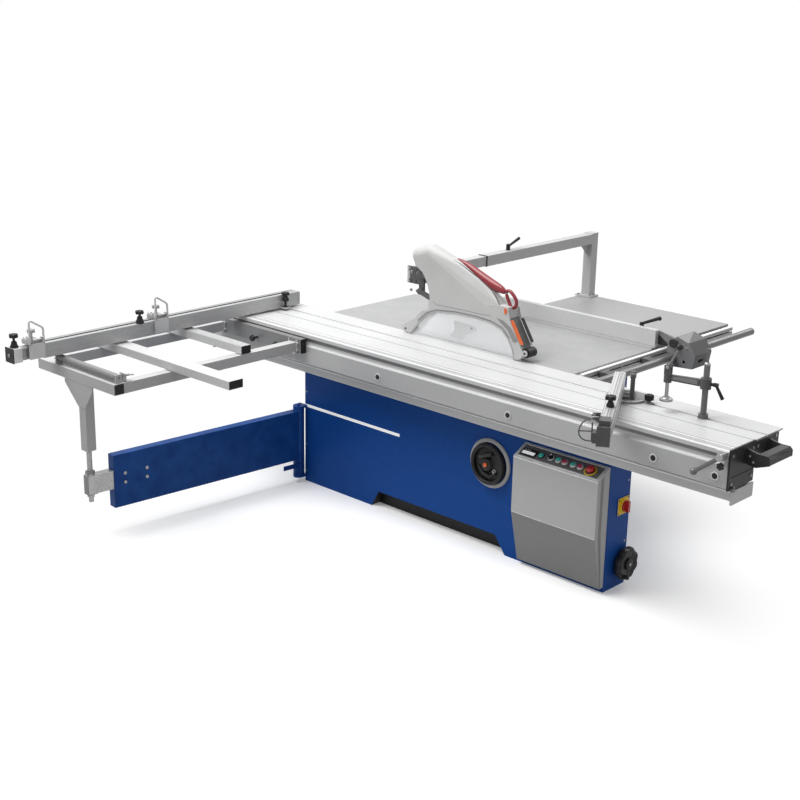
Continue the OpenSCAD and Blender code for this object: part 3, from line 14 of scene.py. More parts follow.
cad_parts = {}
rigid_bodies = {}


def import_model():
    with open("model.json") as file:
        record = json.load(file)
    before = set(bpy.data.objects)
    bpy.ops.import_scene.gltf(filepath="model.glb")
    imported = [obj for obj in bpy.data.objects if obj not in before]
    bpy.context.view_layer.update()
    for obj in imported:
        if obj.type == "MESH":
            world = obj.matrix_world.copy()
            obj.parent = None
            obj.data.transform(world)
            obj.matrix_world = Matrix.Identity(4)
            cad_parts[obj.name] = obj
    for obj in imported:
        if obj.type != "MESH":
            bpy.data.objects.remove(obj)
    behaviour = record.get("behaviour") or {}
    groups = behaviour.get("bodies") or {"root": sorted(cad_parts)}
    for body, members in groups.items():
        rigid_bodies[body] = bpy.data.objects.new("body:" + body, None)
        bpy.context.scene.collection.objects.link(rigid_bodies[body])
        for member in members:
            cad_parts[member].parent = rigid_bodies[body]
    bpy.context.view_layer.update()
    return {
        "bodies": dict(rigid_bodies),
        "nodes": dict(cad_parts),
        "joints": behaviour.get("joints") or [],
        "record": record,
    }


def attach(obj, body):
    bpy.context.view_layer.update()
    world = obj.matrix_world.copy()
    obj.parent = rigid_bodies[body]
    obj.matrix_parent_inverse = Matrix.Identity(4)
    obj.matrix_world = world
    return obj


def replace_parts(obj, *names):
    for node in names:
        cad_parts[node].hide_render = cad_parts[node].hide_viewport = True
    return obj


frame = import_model()
LOG = logging.getLogger("table_saw")
Point = Sequence[float]
Colour = tuple[float, float, float]
Feed = Union[bpy.types.NodeSocket, float, Sequence[float]]
Feeds = dict[Union[str, int], Feed]
MM = 0.001
TABLE = 875.0  # Height of the table tops above the floor in millimetres.
FACING = 0.7  # Least cosine between a face and the direction that it must look in.
BUMP_DEPTH = 0.0006
DUST_TONE = (0.66, 0.64, 0.6, 1)


def grey(value: float) -> Colour:
    """A neutral tone."""
    return value, value, value


def cool(value: float) -> Colour:
    """A grey that leans a little to blue, as bare aluminium does."""
    return value, value + 0.002, value + 0.005


class Axis(Enum):
    """The direction in which a profile is drawn out."""

    X = 0
    Y = 1
    Z = 2

    def place(self, u: float, v: float, along: float) -> Vector:
        """Puts a profile point (u, v) at a place along the axis."""
        return Vector({Axis.X: (along, u, v), Axis.Y: (u, along, v), Axis.Z: (u, v, along)}[self])


class Surface(Enum):
    """The relief that a finish has in its surface."""

    SMOOTH = "smooth"
    PEEL = "orange peel"
    DRAWN_X = "drawn along X"
    DRAWN_Y = "drawn along Y"
    CAST = "cast"


class Wiring:
    """Adds nodes to one node tree and feeds their inputs."""

    def __init__(self, tree: bpy.types.NodeTree) -> None:
        """Works in the given tree."""
        self.tree = tree

    def feed(self, node: bpy.types.Node, values: Feeds) -> None:
        """Sets inputs of a node, or links them.

        Args:
            node: The node.
            values: Each input with its value or the socket that feeds it.
        """
        for label, value in values.items():
            if isinstance(value, bpy.types.NodeSocket):
                self.tree.links.new(value, node.inputs[label])
            else:
                node.inputs[label].default_value = value

    def node(self, kind: str, values: Optional[Feeds] = None, **choices: object) -> bpy.types.Node:
        """Adds one node.

        Args:
            kind: The node's type, after the word that all types begin with.
            values: Each input with its value or the socket that feeds it.
            choices: The node's own settings, such as its operation.

        Returns:
            The node.
        """
        node = self.tree.nodes.new("ShaderNode" + kind)
        for label, choice in choices.items():
            setattr(node, label, choice)
        self.feed(node, values or {})
        return node

    def given(self, label: str) -> bpy.types.NodeSocket:
        """Gives the value that comes into the group under a name."""
        return self.tree.nodes["in"].outputs[label]

    def give(self, **sockets: bpy.types.NodeSocket) -> None:
        """Sends values out of the group under their names."""
        self.feed(self.tree.nodes["out"], sockets)

    def place(self) -> bpy.types.NodeSocket:
        """Gives the point of the surface in the object's own frame."""
        return self.node("TexCoord").outputs["Object"]

    def noise(self, scale: Feed, detail: float) -> bpy.types.NodeSocket:
        """Adds soft noise that is fixed to the object."""
        return self.node("TexNoise", {"Vector": self.place(), "Scale": scale, "Detail": detail}).outputs["Fac"]

    def spread(self, value: Feed, low: float, high: float) -> bpy.types.NodeSocket:
        """Spreads the values between two limits over 0 to 1."""
        return self.node("MapRange", {"Value": value, "From Min": low, "From Max": high}).outputs["Result"]

    def times(self, a: Feed, b: Feed) -> bpy.types.NodeSocket:
        """Multiplies two values."""
        return self.node("Math", {0: a, 1: b}, operation="MULTIPLY").outputs[0]

    def blend(self, share: Feed, first: Feed, second: Feed) -> bpy.types.NodeSocket:
        """Mixes two colours by the share of the second."""
        return self.node("Mix", {0: share, 6: first, 7: second}, data_type="RGBA").outputs[2]


@dataclass(frozen=True)
class Effect:
    """A shader node group that several finishes share. It is built once."""

    name: str
    inputs: dict[str, Feed]
    outputs: dict[str, str]
    wire: Callable[[Wiring], None]

    def tree(self) -> bpy.types.NodeTree:
        """Builds the node group, or gives the one that is there.

        Returns:
            The node group.
        """
        if self.name in bpy.data.node_groups:
            return bpy.data.node_groups[self.name]
        tree = bpy.data.node_groups.new(self.name, "ShaderNodeTree")
        for label, value in self.inputs.items():
            kind = "Float" if isinstance(value, float) else "Color" if len(value) == 4 else "Vector"
            tree.interface.new_socket(
                label, in_out="INPUT", socket_type="NodeSocket" + kind).default_value = value
        for label, kind in self.outputs.items():
            tree.interface.new_socket(label, in_out="OUTPUT", socket_type="NodeSocket" + kind)
        tree.nodes.new("NodeGroupInput").name = "in"
        tree.nodes.new("NodeGroupOutput").name = "out"
        self.wire(Wiring(tree))
        return tree


def wire_mottle(w: Wiring) -> None:
    """Wires broad and fine colour variation between two tones.

    Args:
        w: The wiring of the group.
    """
    broad, fine = w.noise(w.given("Scale"), 3.0), w.noise(w.times(w.given("Scale"), 26.0), 2.0)
    both = w.node("Mix", {"Factor": 0.35, "A": broad, "B": fine}).outputs["Result"]
    mask = w.spread(both, 0.34, 0.66)
    w.give(Colour=w.blend(mask, w.given("Main"), w.given("Second")), Mask=mask)


def wire_grain(w: Wiring) -> None:
    """Wires fine relief: drawn lines, orange peel or a cast skin, by how it is stretched.

    Args:
        w: The wiring of the group.
    """
    stretched = w.node("VectorMath", {0: w.place(), 1: w.given("Stretch")}, operation="MULTIPLY").outputs[0]
    noise = w.node("TexNoise", {"Vector": stretched, "Scale": 1.0, "Detail": 3.0,
                                "Roughness": 0.6}).outputs["Fac"]
    shade = w.node("MapRange", {"Value": noise, "From Min": 0.3, "From Max": 0.7, "To Min": w.given("Low"),
                                "To Max": w.given("High")})
    w.give(Height=noise, Value=shade.outputs["Result"])


def wire_edge_wear_and_highlight(w: Wiring) -> None:
    """Wires a brighter tone along the edges, broken up by noise: scuffs together with a painted highlight.

    Args:
        w: The wiring of the group.
    """
    rounded = w.node("Bevel", {"Radius": w.given("Width")}, samples=4).outputs[0]
    flat = w.node("NewGeometry").outputs["Normal"]
    turn = w.node("VectorMath", {0: rounded, 1: flat}, operation="DOT_PRODUCT").outputs["Value"]
    edge_share = w.times(w.spread(turn, 0.995, 0.90), w.spread(w.noise(24.0, 4.0), 0.35, 0.7))
    mask = w.times(edge_share, w.given("Amount"))
    w.give(Colour=w.blend(mask, w.given("Colour"), w.given("Edge Tone")), Mask=mask)


def wire_dust(w: Wiring) -> None:
    """Wires fine pale dust on faces that look up.

    Args:
        w: The wiring of the group.
    """
    up = w.node("SeparateXYZ", {0: w.node("NewGeometry").outputs["Normal"]}).outputs["Z"]
    lying = w.times(w.spread(up, 0.6, 1.0), w.spread(w.noise(9.0, 5.0), 0.42, 0.72))
    w.give(Colour=w.blend(w.times(lying, w.given("Amount")), w.given("Colour"), DUST_TONE))


MOTTLE = Effect("mottle", {"Main": (*grey(0.8), 1), "Second": (*grey(0.6), 1), "Scale": 3.0},
                {"Colour": "Color", "Mask": "Float"}, wire_mottle)
GRAIN = Effect("grain", {"Stretch": (300.0, 300.0, 300.0), "Low": 0.3, "High": 0.5},
               {"Height": "Float", "Value": "Float"}, wire_grain)
# Brighter edges: scuffs together with a painted highlight.
EDGE_WEAR_AND_HIGHLIGHT = Effect("edge_wear_and_highlight", {"Colour": (*grey(0.8), 1), "Edge Tone": (*grey(0.9), 1), "Width": 0.0015,
                                 "Amount": 0.5}, {"Colour": "Color", "Mask": "Float"}, wire_edge_wear_and_highlight)
DUST = Effect("dust", {"Colour": (*grey(0.8), 1), "Amount": 0.2}, {"Colour": "Color"}, wire_dust)
STRETCH = {Surface.PEEL: (420.0, 420.0, 420.0), Surface.DRAWN_X: (6.0, 620.0, 620.0),
           Surface.DRAWN_Y: (620.0, 6.0, 620.0), Surface.CAST: (240.0, 240.0, 240.0),
           Surface.SMOOTH: (60.0, 60.0, 60.0)}


@dataclass(frozen=True)
class Finish:
    """One finish of the saw, with the numbers that its material is made from."""

    name: str
    slot: str
    colour: Colour
    second: Colour
    metallic: float = 0.0
    rough: tuple[float, float] = (0.4, 0.5)
    specular: float = 0.5
    surface: Surface = Surface.SMOOTH
    relief: float = 0.05
    patches: float = 3.0
    # The share and tone of the brighter edges: scuffs together with a painted highlight.
    scuff_and_highlight: float = 0.0
    edge_tone: Colour = (0.75, 0.75, 0.76)
    dust: float = 0.0
    coat: float = 0.0
    glow: float = 0.0
    alpha: float = 1.0

    def material(self) -> bpy.types.Material:
        """Builds the material of this finish, or gives the one that is there.

        Returns:
            The material.
        """
        if self.name in bpy.data.materials:
            return bpy.data.materials[self.name]
        mat = bpy.data.materials.new(self.name)
        mat.use_nodes = True
        mat.diffuse_color = (*self.colour, 1)
        w = Wiring(mat.node_tree)
        tone = {"Main": (*self.colour, 1), "Second": (*self.second, 1), "Scale": self.patches}
        colour = w.node("Group", tone, node_tree=MOTTLE.tree()).outputs["Colour"]
        # Brighter edges: scuffs together with a painted highlight.
        if self.scuff_and_highlight:
            edge_tone = {"Colour": colour, "Edge Tone": (*self.edge_tone, 1), "Amount": self.scuff_and_highlight}
            colour = w.node("Group", edge_tone, node_tree=EDGE_WEAR_AND_HIGHLIGHT.tree()).outputs["Colour"]
        if self.dust:
            dust = {"Colour": colour, "Amount": self.dust}
            colour = w.node("Group", dust, node_tree=DUST.tree()).outputs["Colour"]
        skin = {"Stretch": STRETCH[self.surface], "Low": self.rough[0], "High": self.rough[1]}
        grain = w.node("Group", skin, node_tree=GRAIN.tree())
        bump = w.node("Bump", {"Strength": self.relief, "Distance": BUMP_DEPTH,
                               "Height": grain.outputs["Height"]})
        sockets: Feeds = {
            "Base Color": colour, "Roughness": grain.outputs["Value"], "Normal": bump.outputs["Normal"],
            "Metallic": self.metallic, "Specular IOR Level": self.specular, "Coat Weight": self.coat,
            "Coat Roughness": 0.12}
        # A glow is the display's own light; on the white print and the guard's window it is painted light.
        if self.glow:
            sockets.update({"Emission Color": (*self.colour, 1), "Emission Strength": self.glow})
        if self.alpha < 1:
            sockets["Alpha"] = self.alpha
        w.feed(mat.node_tree.nodes["Principled BSDF"], sockets)
        return mat


BLUE = Finish("saw_blue_paint", "blue_paint", (0.006, 0.062, 0.285), (0.008, 0.075, 0.33), rough=(0.38, 0.5),
    specular=0.12, surface=Surface.PEEL, relief=0.35, patches=1.2, scuff_and_highlight=0.3, edge_tone=(0.08, 0.17, 0.42))
BLUE_ARM = Finish("arm_blue_paint", "blue_paint", (0.004, 0.045, 0.215), (0.012, 0.080, 0.31),
    rough=(0.38, 0.52), specular=0.15, surface=Surface.PEEL, relief=0.45, patches=14.0, scuff_and_highlight=0.4,
    edge_tone=(0.12, 0.2, 0.45))
GREY = Finish("boom_grey_paint", "grey_paint", grey(0.44), grey(0.49), rough=(0.38, 0.5), specular=0.35,
    surface=Surface.PEEL, relief=0.3, patches=2.0, scuff_and_highlight=0.4, edge_tone=(0.72, 0.72, 0.73))
ANODISED = Finish("drawn_aluminium", "anodised", cool(0.60), cool(0.54), metallic=0.1, rough=(0.34, 0.46),
    specular=0.35, surface=Surface.DRAWN_X, relief=0.12, patches=2.5, scuff_and_highlight=0.3, edge_tone=grey(0.95))
ANODISED_Y = Finish("drawn_fence_aluminium", "anodised", cool(0.46), cool(0.40), metallic=0.15,
    rough=(0.3, 0.42), surface=Surface.DRAWN_Y, relief=0.12, patches=2.5, scuff_and_highlight=0.3, edge_tone=grey(0.9))
# Painted shade: a darker copy of the aluminium for the carriage's front face.
SHADED_SIDE = Finish("profile_side_painted_shade", "anodised", cool(0.46), cool(0.41), metallic=0.12, rough=(0.3, 0.42),
    surface=Surface.DRAWN_X, relief=0.12, patches=2.5)
FENCE_TOP = Finish("fence_top_face", "anodised", cool(0.30), cool(0.26), metallic=0.1, rough=(0.35, 0.45),
    specular=0.3, surface=Surface.DRAWN_Y, relief=0.12, patches=2.5)
# Painted shade: a darker copy of the aluminium for grooves, channels and faces in shade.
PAINTED_SHADE = Finish("shaded_profile", "anodised", cool(0.22), cool(0.18), metallic=0.1, rough=(0.35, 0.5),
    surface=Surface.DRAWN_X, relief=0.12, patches=2.5)
# Painted highlight: a brighter copy of the aluminium for bright strips along edges; it is also painted light in
# the carriage's T-slot.
PAINTED_HIGHLIGHT = Finish("painted_highlight_aluminium", "anodised", grey(0.84), grey(0.78), metallic=0.1, rough=(0.25, 0.35),
    surface=Surface.DRAWN_X, relief=0.08)
IRON = Finish("ground_table_iron", "ground_iron", cool(0.36), cool(0.32), metallic=0.1, rough=(0.36, 0.5),
    specular=0.3, surface=Surface.DRAWN_X, relief=0.15, patches=1.6, scuff_and_highlight=0.4, edge_tone=grey(0.85), dust=0.1)
SHEET = Finish("table_sheet_grey", "sheet_steel", grey(0.31), grey(0.35), metallic=0.05, rough=(0.4, 0.5),
    specular=0.35, surface=Surface.PEEL, relief=0.15, patches=1.4, scuff_and_highlight=0.3)
CONSOLE_LOW = Finish("console_lower_grey", "sheet_steel", grey(0.27), grey(0.30), rough=(0.45, 0.55),
    specular=0.25, surface=Surface.PEEL, relief=0.2, patches=2.0)
CONSOLE_GREY = Finish("console_grey", "sheet_steel", grey(0.48), grey(0.52), rough=(0.4, 0.5), specular=0.3,
    surface=Surface.PEEL, relief=0.2, patches=2.0, scuff_and_highlight=0.35)
SILVER = Finish("silver_frame", "sheet_steel", grey(0.66), grey(0.58), metallic=0.4, rough=(0.25, 0.35),
    patches=9.0, surface=Surface.DRAWN_X, relief=0.1)
STEEL = Finish("bright_steel", "steel", grey(0.40), (0.30, 0.30, 0.302), metallic=0.6, rough=(0.2, 0.34),
    surface=Surface.DRAWN_Y, relief=0.1, patches=8.0, scuff_and_highlight=0.3, edge_tone=grey(0.95))
ARCH = Finish("stop_arch_steel", "steel", grey(0.66), grey(0.58), metallic=0.35, rough=(0.28, 0.4),
    surface=Surface.DRAWN_Y, relief=0.1, patches=8.0)
BAR_STEEL = Finish("round_bar_steel", "steel", (0.17, 0.17, 0.172), (0.13, 0.13, 0.132), metallic=0.25,
    rough=(0.25, 0.38), specular=0.4, surface=Surface.DRAWN_Y, relief=0.1, patches=8.0)
DARK_STEEL = Finish("blackened_steel", "dark_steel", (0.024, 0.024, 0.025), (0.040, 0.040, 0.041), specular=0.2,
    rough=(0.35, 0.5), surface=Surface.PEEL, relief=0.2, patches=6.0, scuff_and_highlight=0.4, edge_tone=(0.3, 0.3, 0.31))
CAST = Finish("grey_casting", "cast_grey", grey(0.19), grey(0.24), metallic=0.1, rough=(0.45, 0.6),
    surface=Surface.CAST, relief=0.5, patches=5.0, scuff_and_highlight=0.4)
CAST_DARK = Finish("dark_casting", "cast_grey", (0.075, 0.075, 0.076), (0.11, 0.11, 0.111), specular=0.35,
    rough=(0.45, 0.6), surface=Surface.CAST, relief=0.5, patches=5.0, scuff_and_highlight=0.3)
BLACK = Finish("matt_black", "black_plastic", (0.012, 0.012, 0.013), (0.022, 0.022, 0.023), rough=(0.35, 0.5),
    specular=0.22, surface=Surface.CAST, relief=0.3, patches=10.0, scuff_and_highlight=0.25, edge_tone=(0.12, 0.12, 0.125))
RED = Finish("gloss_red", "red_plastic", (0.55, 0.018, 0.018), (0.45, 0.012, 0.014), rough=(0.25, 0.35),
    patches=12.0, coat=0.3)
HANDLE_RED = Finish("guard_handle_red", "red_plastic", (0.26, 0.006, 0.014), (0.20, 0.004, 0.010),
    rough=(0.25, 0.38), patches=14.0, coat=0.25)
GREEN = Finish("turquoise_button", "green_plastic", (0.05, 0.66, 0.55), (0.04, 0.56, 0.46), rough=(0.25, 0.35),
    patches=30.0, coat=0.3)
DARK_RED = Finish("pink_red_button", "dark_red_plastic", (0.66, 0.04, 0.12), (0.55, 0.03, 0.09),
    rough=(0.25, 0.35), patches=30.0, coat=0.3)
ORANGE = Finish("orange_plastic", "red_plastic", (0.78, 0.15, 0.03), (0.68, 0.11, 0.02), rough=(0.3, 0.4),
    patches=20.0)
YELLOW = Finish("yellow_plate", "black_plastic", (0.88, 0.60, 0.01), (0.78, 0.50, 0.01), rough=(0.35, 0.45),
    patches=15.0)
SCREEN = Finish("lit_display", "clear_window", (0.75, 0.78, 0.8), (0.7, 0.73, 0.76), rough=(0.1, 0.15),
    glow=0.45)
SHELL = Finish("guard_moulding", "white_shell", (0.52, 0.52, 0.515), (0.47, 0.47, 0.465), rough=(0.4, 0.5),
    surface=Surface.CAST, relief=0.12, patches=6.0, specular=0.4)
# Dark grey for the guard's seams, frame and edge lines, and painted shade in a band along the arch.
SEAM_AND_SHADE = Finish("guard_seam_and_shade_grey", "white_shell", grey(0.20), grey(0.26), rough=(0.4, 0.5), patches=12.0)
RIM = Finish("guard_rim_grey", "white_shell", (0.42, 0.42, 0.415), (0.36, 0.36, 0.355), rough=(0.4, 0.5),
    patches=12.0)
# The clear window glows a little: painted light.
WINDOW = Finish("guard_window", "clear_window", (0.86, 0.87, 0.88), (0.80, 0.81, 0.82), rough=(0.05, 0.08),
    patches=6.0, relief=0.02, specular=0.5, alpha=0.24, glow=0.18)
RUBBER = Finish("drive_rubber", "belt_rubber", grey(0.03), grey(0.045), rough=(0.6, 0.75), surface=Surface.CAST,
    relief=0.4, patches=20.0)
MOTOR = Finish("motor_enamel", "motor_paint", (0.10, 0.115, 0.14), (0.13, 0.145, 0.17), rough=(0.4, 0.5),
    surface=Surface.PEEL, relief=0.4, patches=5.0, scuff_and_highlight=0.3)
# The white print also glows: painted light.
WHITE = Finish("white_stripe", "white_shell", grey(0.92), grey(0.88), rough=(0.4, 0.5), glow=0.35)
ANTHRACITE = Finish("panel_anthracite", "dark_steel", (0.10, 0.10, 0.102), (0.13, 0.13, 0.132),
    rough=(0.4, 0.5), surface=Surface.PEEL, relief=0.15, patches=10.0)


class Mould:
    """Collects shapes into one mesh, given in millimetres of the saw's frame."""

    def __init__(self, name: str, place: Optional[Matrix] = None) -> None:
        """Starts an empty mesh.

        Args:
            name: The piece's name.
            place: Where the shapes' own frame stands in the saw's frame.
        """
        self.name = name
        self.place = place or Matrix.Identity(4)
        self.bm = bmesh.new()

    def vert(self, p: Point) -> bmesh.types.BMVert:
        """Adds one vertex in millimetres."""
        return self.bm.verts.new((self.place @ Vector(p)) * MM)

    def loft(self, rings: Sequence[Sequence[Point]], close: bool = False, cap: bool = True) -> "Mould":
        """Joins rings of points into a skin.

        Args:
            rings: Rings with the same number of points.
            close: True where the last ring meets the first.
            cap: True where both ends are closed by a face.

        Returns:
            This mould.
        """
        rows = [[self.vert(p) for p in ring] for ring in rings]
        pairs = list(zip(rows, rows[1:])) + ([(rows[-1], rows[0])] if close else [])
        for a, b in pairs:
            for i in range(len(a)):
                j = (i + 1) % len(a)
                self.bm.faces.new((a[i], a[j], b[j], b[i]))
        if cap and not close:
            self.bm.faces.new(list(reversed(rows[0])))
            self.bm.faces.new(rows[-1])
        return self

    def prism(self, points: Sequence[Sequence[float]], axis: Axis, start: float, end: float) -> "Mould":
        """Draws a profile out along an axis.

        Args:
            points: The profile's corners.
            axis: The axis to draw along.
            start: Where the prism starts.
            end: Where it ends.

        Returns:
            This mould.
        """
        return self.loft([[axis.place(u, v, at) for u, v in points] for at in (start, end)])

    def box(self, lo: Point, hi: Point) -> "Mould":
        """Adds a block between two corners."""
        x0, y0, x1, y1 = lo[0], lo[1], hi[0], hi[1]
        return self.prism([(x0, y0), (x1, y0), (x1, y1), (x0, y1)], Axis.Z, lo[2], hi[2])

    def lathe(self, profile: Sequence[Sequence[float]], centre: Point, axis: Point = (0, 0, 1),
              sides: int = 40, lobes: int = 0, depth: float = 0.0, ring: bool = False) -> "Mould":
        """Turns a profile about an axis, round or lobed.

        Args:
            profile: Pairs of radius and height along the axis.
            centre: The point at height 0.
            axis: The direction of the axis.
            sides: The number of sides.
            lobes: The number of lobes of a star grip.
            depth: The lobes' depth as a share of the radius.
            ring: True where the profile is a closed loop.

        Returns:
            This mould.
        """
        turn = Vector(axis).to_track_quat("Z", "Y").to_matrix()
        rings = []
        for r, h in profile:
            r = max(r, 0.05)
            rings.append([Vector(centre) + turn @ Vector((q * math.cos(t), q * math.sin(t), h))
                          for t in (math.tau * i / sides for i in range(sides))
                          for q in (r * (1 - depth * (0.5 + 0.5 * math.cos(lobes * t))),)])
        return self.loft(rings, close=ring)

    def star(self, at: Point, r: float, h: float, axis: Point = (0, 0, 1)) -> "Mould":
        """Adds a star grip with a rounded edge and a dished top."""
        return self.lathe([(r * 0.62, 0), (r * 0.95, h * 0.15), (r, h * 0.5), (r * 0.93, h * 0.88),
                           (r * 0.8, h), (r * 0.35, h * 0.9)], at, axis, 60, 6, 0.28)

    def band(self, points: Sequence[Sequence[float]], width: float, axis: Axis, start: float,
             end: float) -> "Mould":
        """Adds a band of constant width along an open line in a plane.

        Args:
            points: The line's points in the plane.
            width: The band's width.
            axis: The direction of its thickness.
            start: Where the thickness starts.
            end: Where it ends.

        Returns:
            This mould.
        """
        rings = []
        for i, p in enumerate(points):
            a, b = Vector(points[max(i - 1, 0)]), Vector(points[min(i + 1, len(points) - 1)])
            side = Vector((-(b - a).y, (b - a).x)).normalized() * (width / 2)
            q = Vector(p)
            rings.append([axis.place(*(q + side), start), axis.place(*(q - side), start),
                          axis.place(*(q - side), end), axis.place(*(q + side), end)])
        return self.loft(rings)

    def rod(self, a: Point, b: Point, r: float) -> "Mould":
        """Adds a round rod between two points."""
        a, b = Vector(a), Vector(b)
        return self.lathe([(r, 0), (r, (b - a).length)], a, b - a, 20)

    def ball(self, at: Point, r: float, sides: int) -> "Mould":
        """Adds a ball."""
        arc = [math.pi * k / 12 for k in range(13)]
        return self.lathe([(r * math.sin(t), -r * math.cos(t)) for t in arc], at, sides=sides)

    def sweep(self, path: Sequence[Point], radii: Sequence[float], sides: int = 16) -> "Mould":
        """Runs a round section along a path.

        Args:
            path: The points of the path.
            radii: The section's radius at each point.
            sides: The number of sides.

        Returns:
            This mould.
        """
        pts = [Vector(p) for p in path]
        side = None
        rings = []
        for i, p in enumerate(pts):
            ahead = (pts[min(i + 1, len(pts) - 1)] - pts[max(i - 1, 0)]).normalized()
            if side is None:
                side = ahead.orthogonal().normalized()
            side = (side - ahead * side.dot(ahead)).normalized()
            other = ahead.cross(side)
            rings.append([p + (side * math.cos(t) + other * math.sin(t)) * radii[i]
                          for t in (math.tau * k / sides for k in range(sides))])
        return self.loft(rings)

    def holed(self, lo: Sequence[float], hi: Sequence[float], centre: Sequence[float], r: float, axis: Axis,
              start: float, end: float, sides: int = 48) -> "Mould":
        """Adds a flat plate with one round hole.

        Args:
            lo: The plate's lower corner in its own plane.
            hi: Its upper corner.
            centre: The hole's centre.
            r: The hole's radius.
            axis: The direction of its thickness.
            start: Where the thickness starts.
            end: Where it ends.
            sides: The number of sides of the hole.

        Returns:
            This mould.
        """
        outer, inner = [], []
        for i in range(sides):
            t = math.tau * (i + 0.5) / sides
            c, s = math.cos(t), math.sin(t)
            reach = min((hi[0] - centre[0]) / c if c > 0 else (lo[0] - centre[0]) / c,
                        (hi[1] - centre[1]) / s if s > 0 else (lo[1] - centre[1]) / s)
            outer.append((centre[0] + reach * c, centre[1] + reach * s))
            inner.append((centre[0] + r * c, centre[1] + r * s))
        rings = [[axis.place(u, v, at) for u, v in pts]
                 for pts, at in ((outer, start), (outer, end), (inner, end), (inner, start))]
        return self.loft(rings, close=True)

    def bolt(self, at: Point, axis: Point, r: float, h: float) -> "Mould":
        """Adds a socket-head screw with its recess."""
        return self.lathe([(r, 0), (r, h * 0.8), (r * 0.9, h), (r * 0.5, h), (r * 0.5, h * 0.35)], at, axis, 24)

    def bolts(self, spots: Sequence[Point], axis: Point, r: float, h: float) -> "Mould":
        """Adds the same screw at several places."""
        for at in spots:
            self.bolt(at, axis, r, h)
        return self

    def build(self, finish: Finish, body: str, bevel: float = 0.0, angle: float = 35.0,
              subdivide: int = 0) -> bpy.types.Object:
        """Makes the object, dresses it and lets it ride on its body.

        Args:
            finish: The piece's finish.
            body: The CAD body that carries it.
            bevel: The width of its rounded edges in millimetres.
            angle: Edges sharper than this stay sharp.
            subdivide: Levels of a subdivision surface.

        Returns:
            The new object.
        """
        bmesh.ops.recalc_face_normals(self.bm, faces=self.bm.faces)
        mesh = bpy.data.meshes.new(self.name)
        self.bm.to_mesh(mesh)
        self.bm.free()
        mesh.shade_smooth()
        mesh.set_sharp_from_angle(angle=math.radians(angle))
        mesh.materials.append(finish.material())
        obj = bpy.data.objects.new(self.name, mesh)
        bpy.context.scene.collection.objects.link(obj)
        if bevel:
            edge = obj.modifiers.new("rounded_edges", "BEVEL")
            edge.width, edge.segments, edge.limit_method = bevel * MM, 2, "ANGLE"
            edge.angle_limit = math.radians(angle)
            edge.harden_normals = True
        if subdivide:
            obj.modifiers.new("smooth_skin", "SUBSURF").levels = subdivide
            obj.modifiers["smooth_skin"].render_levels = subdivide
        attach(obj, body)
        LOG.info("piece %s: %s on %s", self.name, finish.name, body)
        return obj


def dress(node: str, finish: Finish, edge: float = 0.0) -> None:
    """Gives a CAD node its finish and soft edges.

    Args:
        node: The node's name.
        finish: The finish to use.
        edge: The width of its rounded edges in millimetres.
    """
    obj = frame["nodes"][node]
    obj.data.materials.clear()
    obj.data.materials.append(finish.material())
    if edge:
        obj.modifiers.new("joined_skin", "WELD").merge_threshold = 0.00001
        soft = obj.modifiers.new("rounded_edges", "BEVEL")
        soft.width, soft.segments, soft.limit_method = edge * MM, 2, "ANGLE"
        soft.angle_limit = math.radians(40)
        soft.harden_normals = True
    LOG.info("node %s: %s", node, finish.name)


def paint(node: str, finish: Finish, lo: Point, hi: Point, place: Optional[Matrix] = None,
          facing: Optional[Point] = None) -> None:
    """Gives the faces of a CAD node whose middle lies in a box another finish.

    Args:
        node: The node's name.
        finish: The finish of those faces.
        lo: The box's lower corner in millimetres.
        hi: Its upper corner.
        place: The frame of the box in the saw's frame.
        facing: A direction that the faces must look in.
    """
    obj = frame["nodes"][node]
    names = [m.name for m in obj.data.materials]
    if finish.name not in names:
        obj.data.materials.append(finish.material())
        names.append(finish.name)
    back = (place or Matrix.Identity(4)).inverted()
    to_box = back @ Matrix.Diagonal((1000, 1000, 1000, 1)) @ obj.matrix_world
    turn = (place or Matrix.Identity(4)).to_3x3() @ Vector(facing) if facing else None
    for face in obj.data.polygons:
        c = to_box @ face.center
        if all(lo[i] <= c[i] <= hi[i] for i in range(3)):
            if turn is None or (obj.matrix_world.to_3x3() @ face.normal).dot(turn) > FACING:
                face.material_index = names.index(finish.name)


def swivelled(x: float, y: float, z: float, turn: float) -> Matrix:
    """Gives the frame of a group that stands at a point and is turned about the vertical."""
    return Matrix.Translation((x, y, z)) @ Matrix.Rotation(turn, 4, "Z")


@dataclass
class SubAssembly:
    """A group of CAD nodes with their finishes."""

    finishes: dict[str, Finish] = field(default_factory=dict)
    edges: dict[str, float] = field(default_factory=dict)

    def dress_nodes(self) -> None:
        """Dresses every node of the group."""
        for node, finish in self.finishes.items():
            dress(node, finish, self.edges.get(node, 0.0))

    def build(self) -> None:
        """Dresses the nodes and adds the group's fittings."""
        self.dress_nodes()
        self.add_fittings()

    def add_fittings(self) -> None:
        """Adds the small pieces of the group."""


